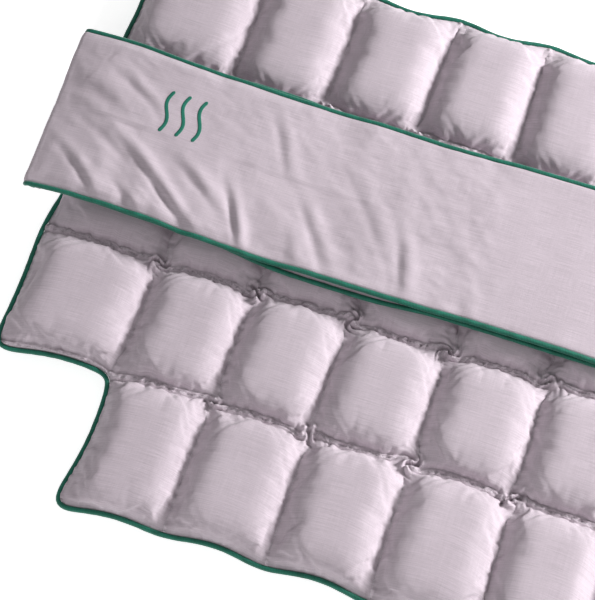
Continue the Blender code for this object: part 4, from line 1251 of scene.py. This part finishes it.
def makeMark(paints, outer):
    # three upright waves printed on the left arm
    middleX = (markLow[0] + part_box("heat_mark_3")[1][0]) / 2
    low, high = markLow[1] + mark["stroke"] / 2, markHigh[1] - mark["stroke"] / 2
    for number in range(3):
        tall = np.linspace(0, 1, mark["steps"])
        centreY = low + (high - low) * tall
        centreX = middleX + (number - 1) * mark["pitch"] + mark["swing"] * np.sin(2 * np.pi * tall)
        slope = 2 * np.pi * mark["swing"] * np.cos(2 * np.pi * tall) / (high - low)
        length = np.hypot(1, slope)
        end = np.minimum(tall, 1 - tall) * (high - low)
        r = mark["stroke"] / 2
        wide = r * (np.sqrt(np.clip(1 - (1 - np.clip(end / r, 0.04, 1)) ** 2, 0, 1)))
        share = np.linspace(-1, 1, 5)
        X = centreX[:, None] + share * (wide / length)[:, None]
        Y = centreY[:, None] - share * (wide * slope / length)[:, None]
        ground = readSurface(outer, X.ravel(), Y.ravel()).reshape(X.shape)
        top = np.stack([X, Y, ground + mark["proud"]], axis=-1)
        under = np.stack([X, Y, ground - mark["proud"]], axis=-1)
        flat = np.stack([X, Y], axis=-1)
        made, _ = twoSided("heatMark%d" % (number + 1), top[:, ::-1], under[:, ::-1], flat)
        finishPiece(made, paints["print"], "print", "heat_mark_%d" % (number + 1))
        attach(made, "left_arm")
    print("heat mark made")


# hook and loop tapes on the arms' ends

tape = {"corner": 0.006, "cornerSteps": 6, "rim": 0.00022, "rimSteps": 2, "thick": 0.0007, "margin": 0.004,
        "stitchIn": 0.0028}
# a hook is a stem that leans over and ends in a small head: depth, lean and girth as shares of its height
hookProfile = ((-0.1, 0, 0.30), (0.6, 0.0, 0.20), (0.85, 0.25, 0.34), (1.0, 0.35, 0.16))
hook = {"pitch": 0.0024, "sides": 5, "tip": -1.02, "root": 0.1}
# a loop is half a ring of thread, wider than it is tall
loop = {"count": 3000, "seed": 17, "wide": 1.15, "tall": 0.80, "thread": 0.18, "sides": 3, "steps": 6}


def makeTape(name, low, high, zLow, zHigh, paint, side, node):
    # a flat tape with rounded corners and a soft rim
    size = (high[0] - low[0], high[1] - low[1], zHigh - zLow)
    centre = ((low[0] + high[0]) / 2, (low[1] + high[1]) / 2, (zLow + zHigh) / 2)
    bpy.ops.mesh.primitive_cube_add(size=1, location=centre, scale=size)
    made = bpy.context.active_object
    made.name = made.data.name = name
    bpy.ops.object.transform_apply(location=True, rotation=True, scale=True)
    rounds = ((tape["corner"], tape["cornerSteps"], True), (tape["rim"], tape["rimSteps"], False))
    for width, steps, upright in rounds:
        bpy.ops.object.mode_set(mode="EDIT")
        bpy.ops.mesh.select_mode(type="EDGE")
        bpy.ops.mesh.select_all(action="DESELECT")
        bpy.ops.object.mode_set(mode="OBJECT")
        for edge in made.data.edges:
            a, b = (made.data.vertices[k].co for k in edge.vertices)
            edge.select = (abs(a.z - b.z) > 1e-5) == upright
        bpy.ops.object.mode_set(mode="EDIT")
        bpy.ops.mesh.bevel(offset=width, segments=steps, affect="EDGES", clamp_overlap=True)
        bpy.ops.object.mode_set(mode="OBJECT")
    made.data.shade_smooth()
    made.select_set(True)
    bpy.ops.object.shade_smooth_by_angle(angle=math.radians(40))
    made.select_set(False)
    rideArm(made, paint, "hook", side, node)


def rideArm(made, paint, slotName, side, *nodes):
    finishPiece(made, paint, slotName, *nodes)
    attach(made, side + "_arm")


def tapeStitches(paints, name, low, high, z, side):
    inset = tape["stitchIn"]
    x0, x1, y0, y1 = low[0] + inset, high[0] - inset, low[1] + inset, high[1] - inset
    corners = np.array([[x0, y0, z], [x1, y0, z], [x1, y1, z], [x0, y1, z], [x0, y0, z]])
    even = [evenSteps(corners[k:k + 2], stitch["pitch"]) for k in range(4)]
    turns = np.concatenate([turnsAlong(path) for path in even])
    made = repeated(name, *stitchShape(), np.concatenate(even), turns)
    rideArm(made, paints["thread"], "cloth", side)


def makeHookTape(paints):
    low, top = patchLow, patchHigh[2]
    face = top - tape["thick"]
    makeTape("hookTape", low, patchHigh, face, top, paints["hook"], "left", "hook_patch")
    tapeStitches(paints, "hookTapeStitches", low, patchHigh, face, "left")
    margin, pitch = tape["margin"], hook["pitch"]
    xs, ys = (np.arange(low[k] + margin, patchHigh[k] - margin, pitch) for k in (0, 1))
    X, Y = np.meshgrid(xs, ys, indexing="ij")
    Y = Y + (np.arange(len(xs)) % 2)[:, None] * pitch / 2
    tall, count = face - low[2], hook["sides"]
    shape = [[(lean + girth * math.cos(a)) * tall, girth * math.sin(a) * tall, -down * tall]
             for down, lean, girth in hookProfile for a in ringOf(count)]
    shape += [[hookProfile[-1][1] * tall, 0, hook["tip"] * tall], [0, 0, hook["root"] * tall]]
    last = count * (len(hookProfile) - 1)
    ahead = [(k + 1) % count for k in range(count)]
    quads = [[first + k, first + count + k, first + count + m, first + m]
             for first in range(0, last, count) for k, m in enumerate(ahead)]
    tris = [[last + k, last + count, last + m] for k, m in enumerate(ahead)]
    tris += [[m, last + count + 1, k] for k, m in enumerate(ahead)]
    places = np.stack([X.ravel(), Y.ravel(), np.full(X.size, face)], axis=1)
    turns = np.repeat(np.eye(3)[None], len(places), axis=0)
    made = repeated("hookField", np.array(shape), np.array(quads), np.array(tris), places, turns)
    rideArm(made, paints["hook"], "hook", "left")
    print("hook tape:", len(places), "hooks")


def makeLoopTape(paints):
    bottom, top = loopLow[2], loopHigh[2]
    face = bottom + tape["thick"]
    makeTape("loopTape", loopLow, loopHigh, bottom, face, paints["loop"], "right", "loop_patch")
    tapeStitches(paints, "loopTapeStitches", loopLow, loopHigh, face, "right")
    rng = np.random.default_rng(loop["seed"])
    margin, tall, count = tape["margin"], top - bottom - tape["thick"], loop["count"]
    x, y = (rng.uniform(loopLow[k] + margin, loopHigh[k] - margin, count) for k in (0, 1))
    places = np.stack([x, y, np.full(count, face)], axis=1)
    n, steps, thread = loop["sides"], loop["steps"], loop["thread"]
    bend = np.linspace(-0.1, math.pi + 0.1, steps)
    shape = [[(loop["wide"] + thread * math.cos(a)) * math.cos(t) * tall, thread * math.sin(a) * tall,
              (loop["tall"] + thread * math.cos(a)) * math.sin(t) * tall] for t in bend for a in ringOf(n)]
    quads = [[first + k, first + (k + 1) % n, first + n + (k + 1) % n, first + n + k]
             for first in range(0, n * (steps - 1), n) for k in range(n)]
    end = n * (steps - 1)
    tris = [[0, 2, 1], [end, end + 1, end + 2]]
    turn = rng.uniform(0, np.pi, count)
    c, s, o = np.cos(turn), np.sin(turn), np.zeros(count)
    turns = np.stack([np.stack([c, -s, o], 1), np.stack([s, c, o], 1), np.stack([o, o, o + 1], 1)], axis=1)
    made = repeated("loopField", np.array(shape), np.array(quads), np.array(tris), places, turns)
    rideArm(made, paints["loop"], "hook", "right")
    print("loop tape:", count, "loops")


paints = makePaints()
makeCamera()
makeStage()
paintFrame(paints)
quiltTop, quiltUnder, border, borderRight = makeQuilt(paints)
makeStitches(paints, "faceStitches", quiltTop, stitch["proud"])
makeStitches(paints, "backStitches", quiltUnder, -stitch["proud"])
makeEdgePiping(paints, border, borderRight)
makeBandBase(paints)
leftOuter = makeArm(paints, "left", 3)
makeArm(paints, "right", 12)
makeMark(paints, leftOuter)
makeHookTape(paints)
makeLoopTape(paints)
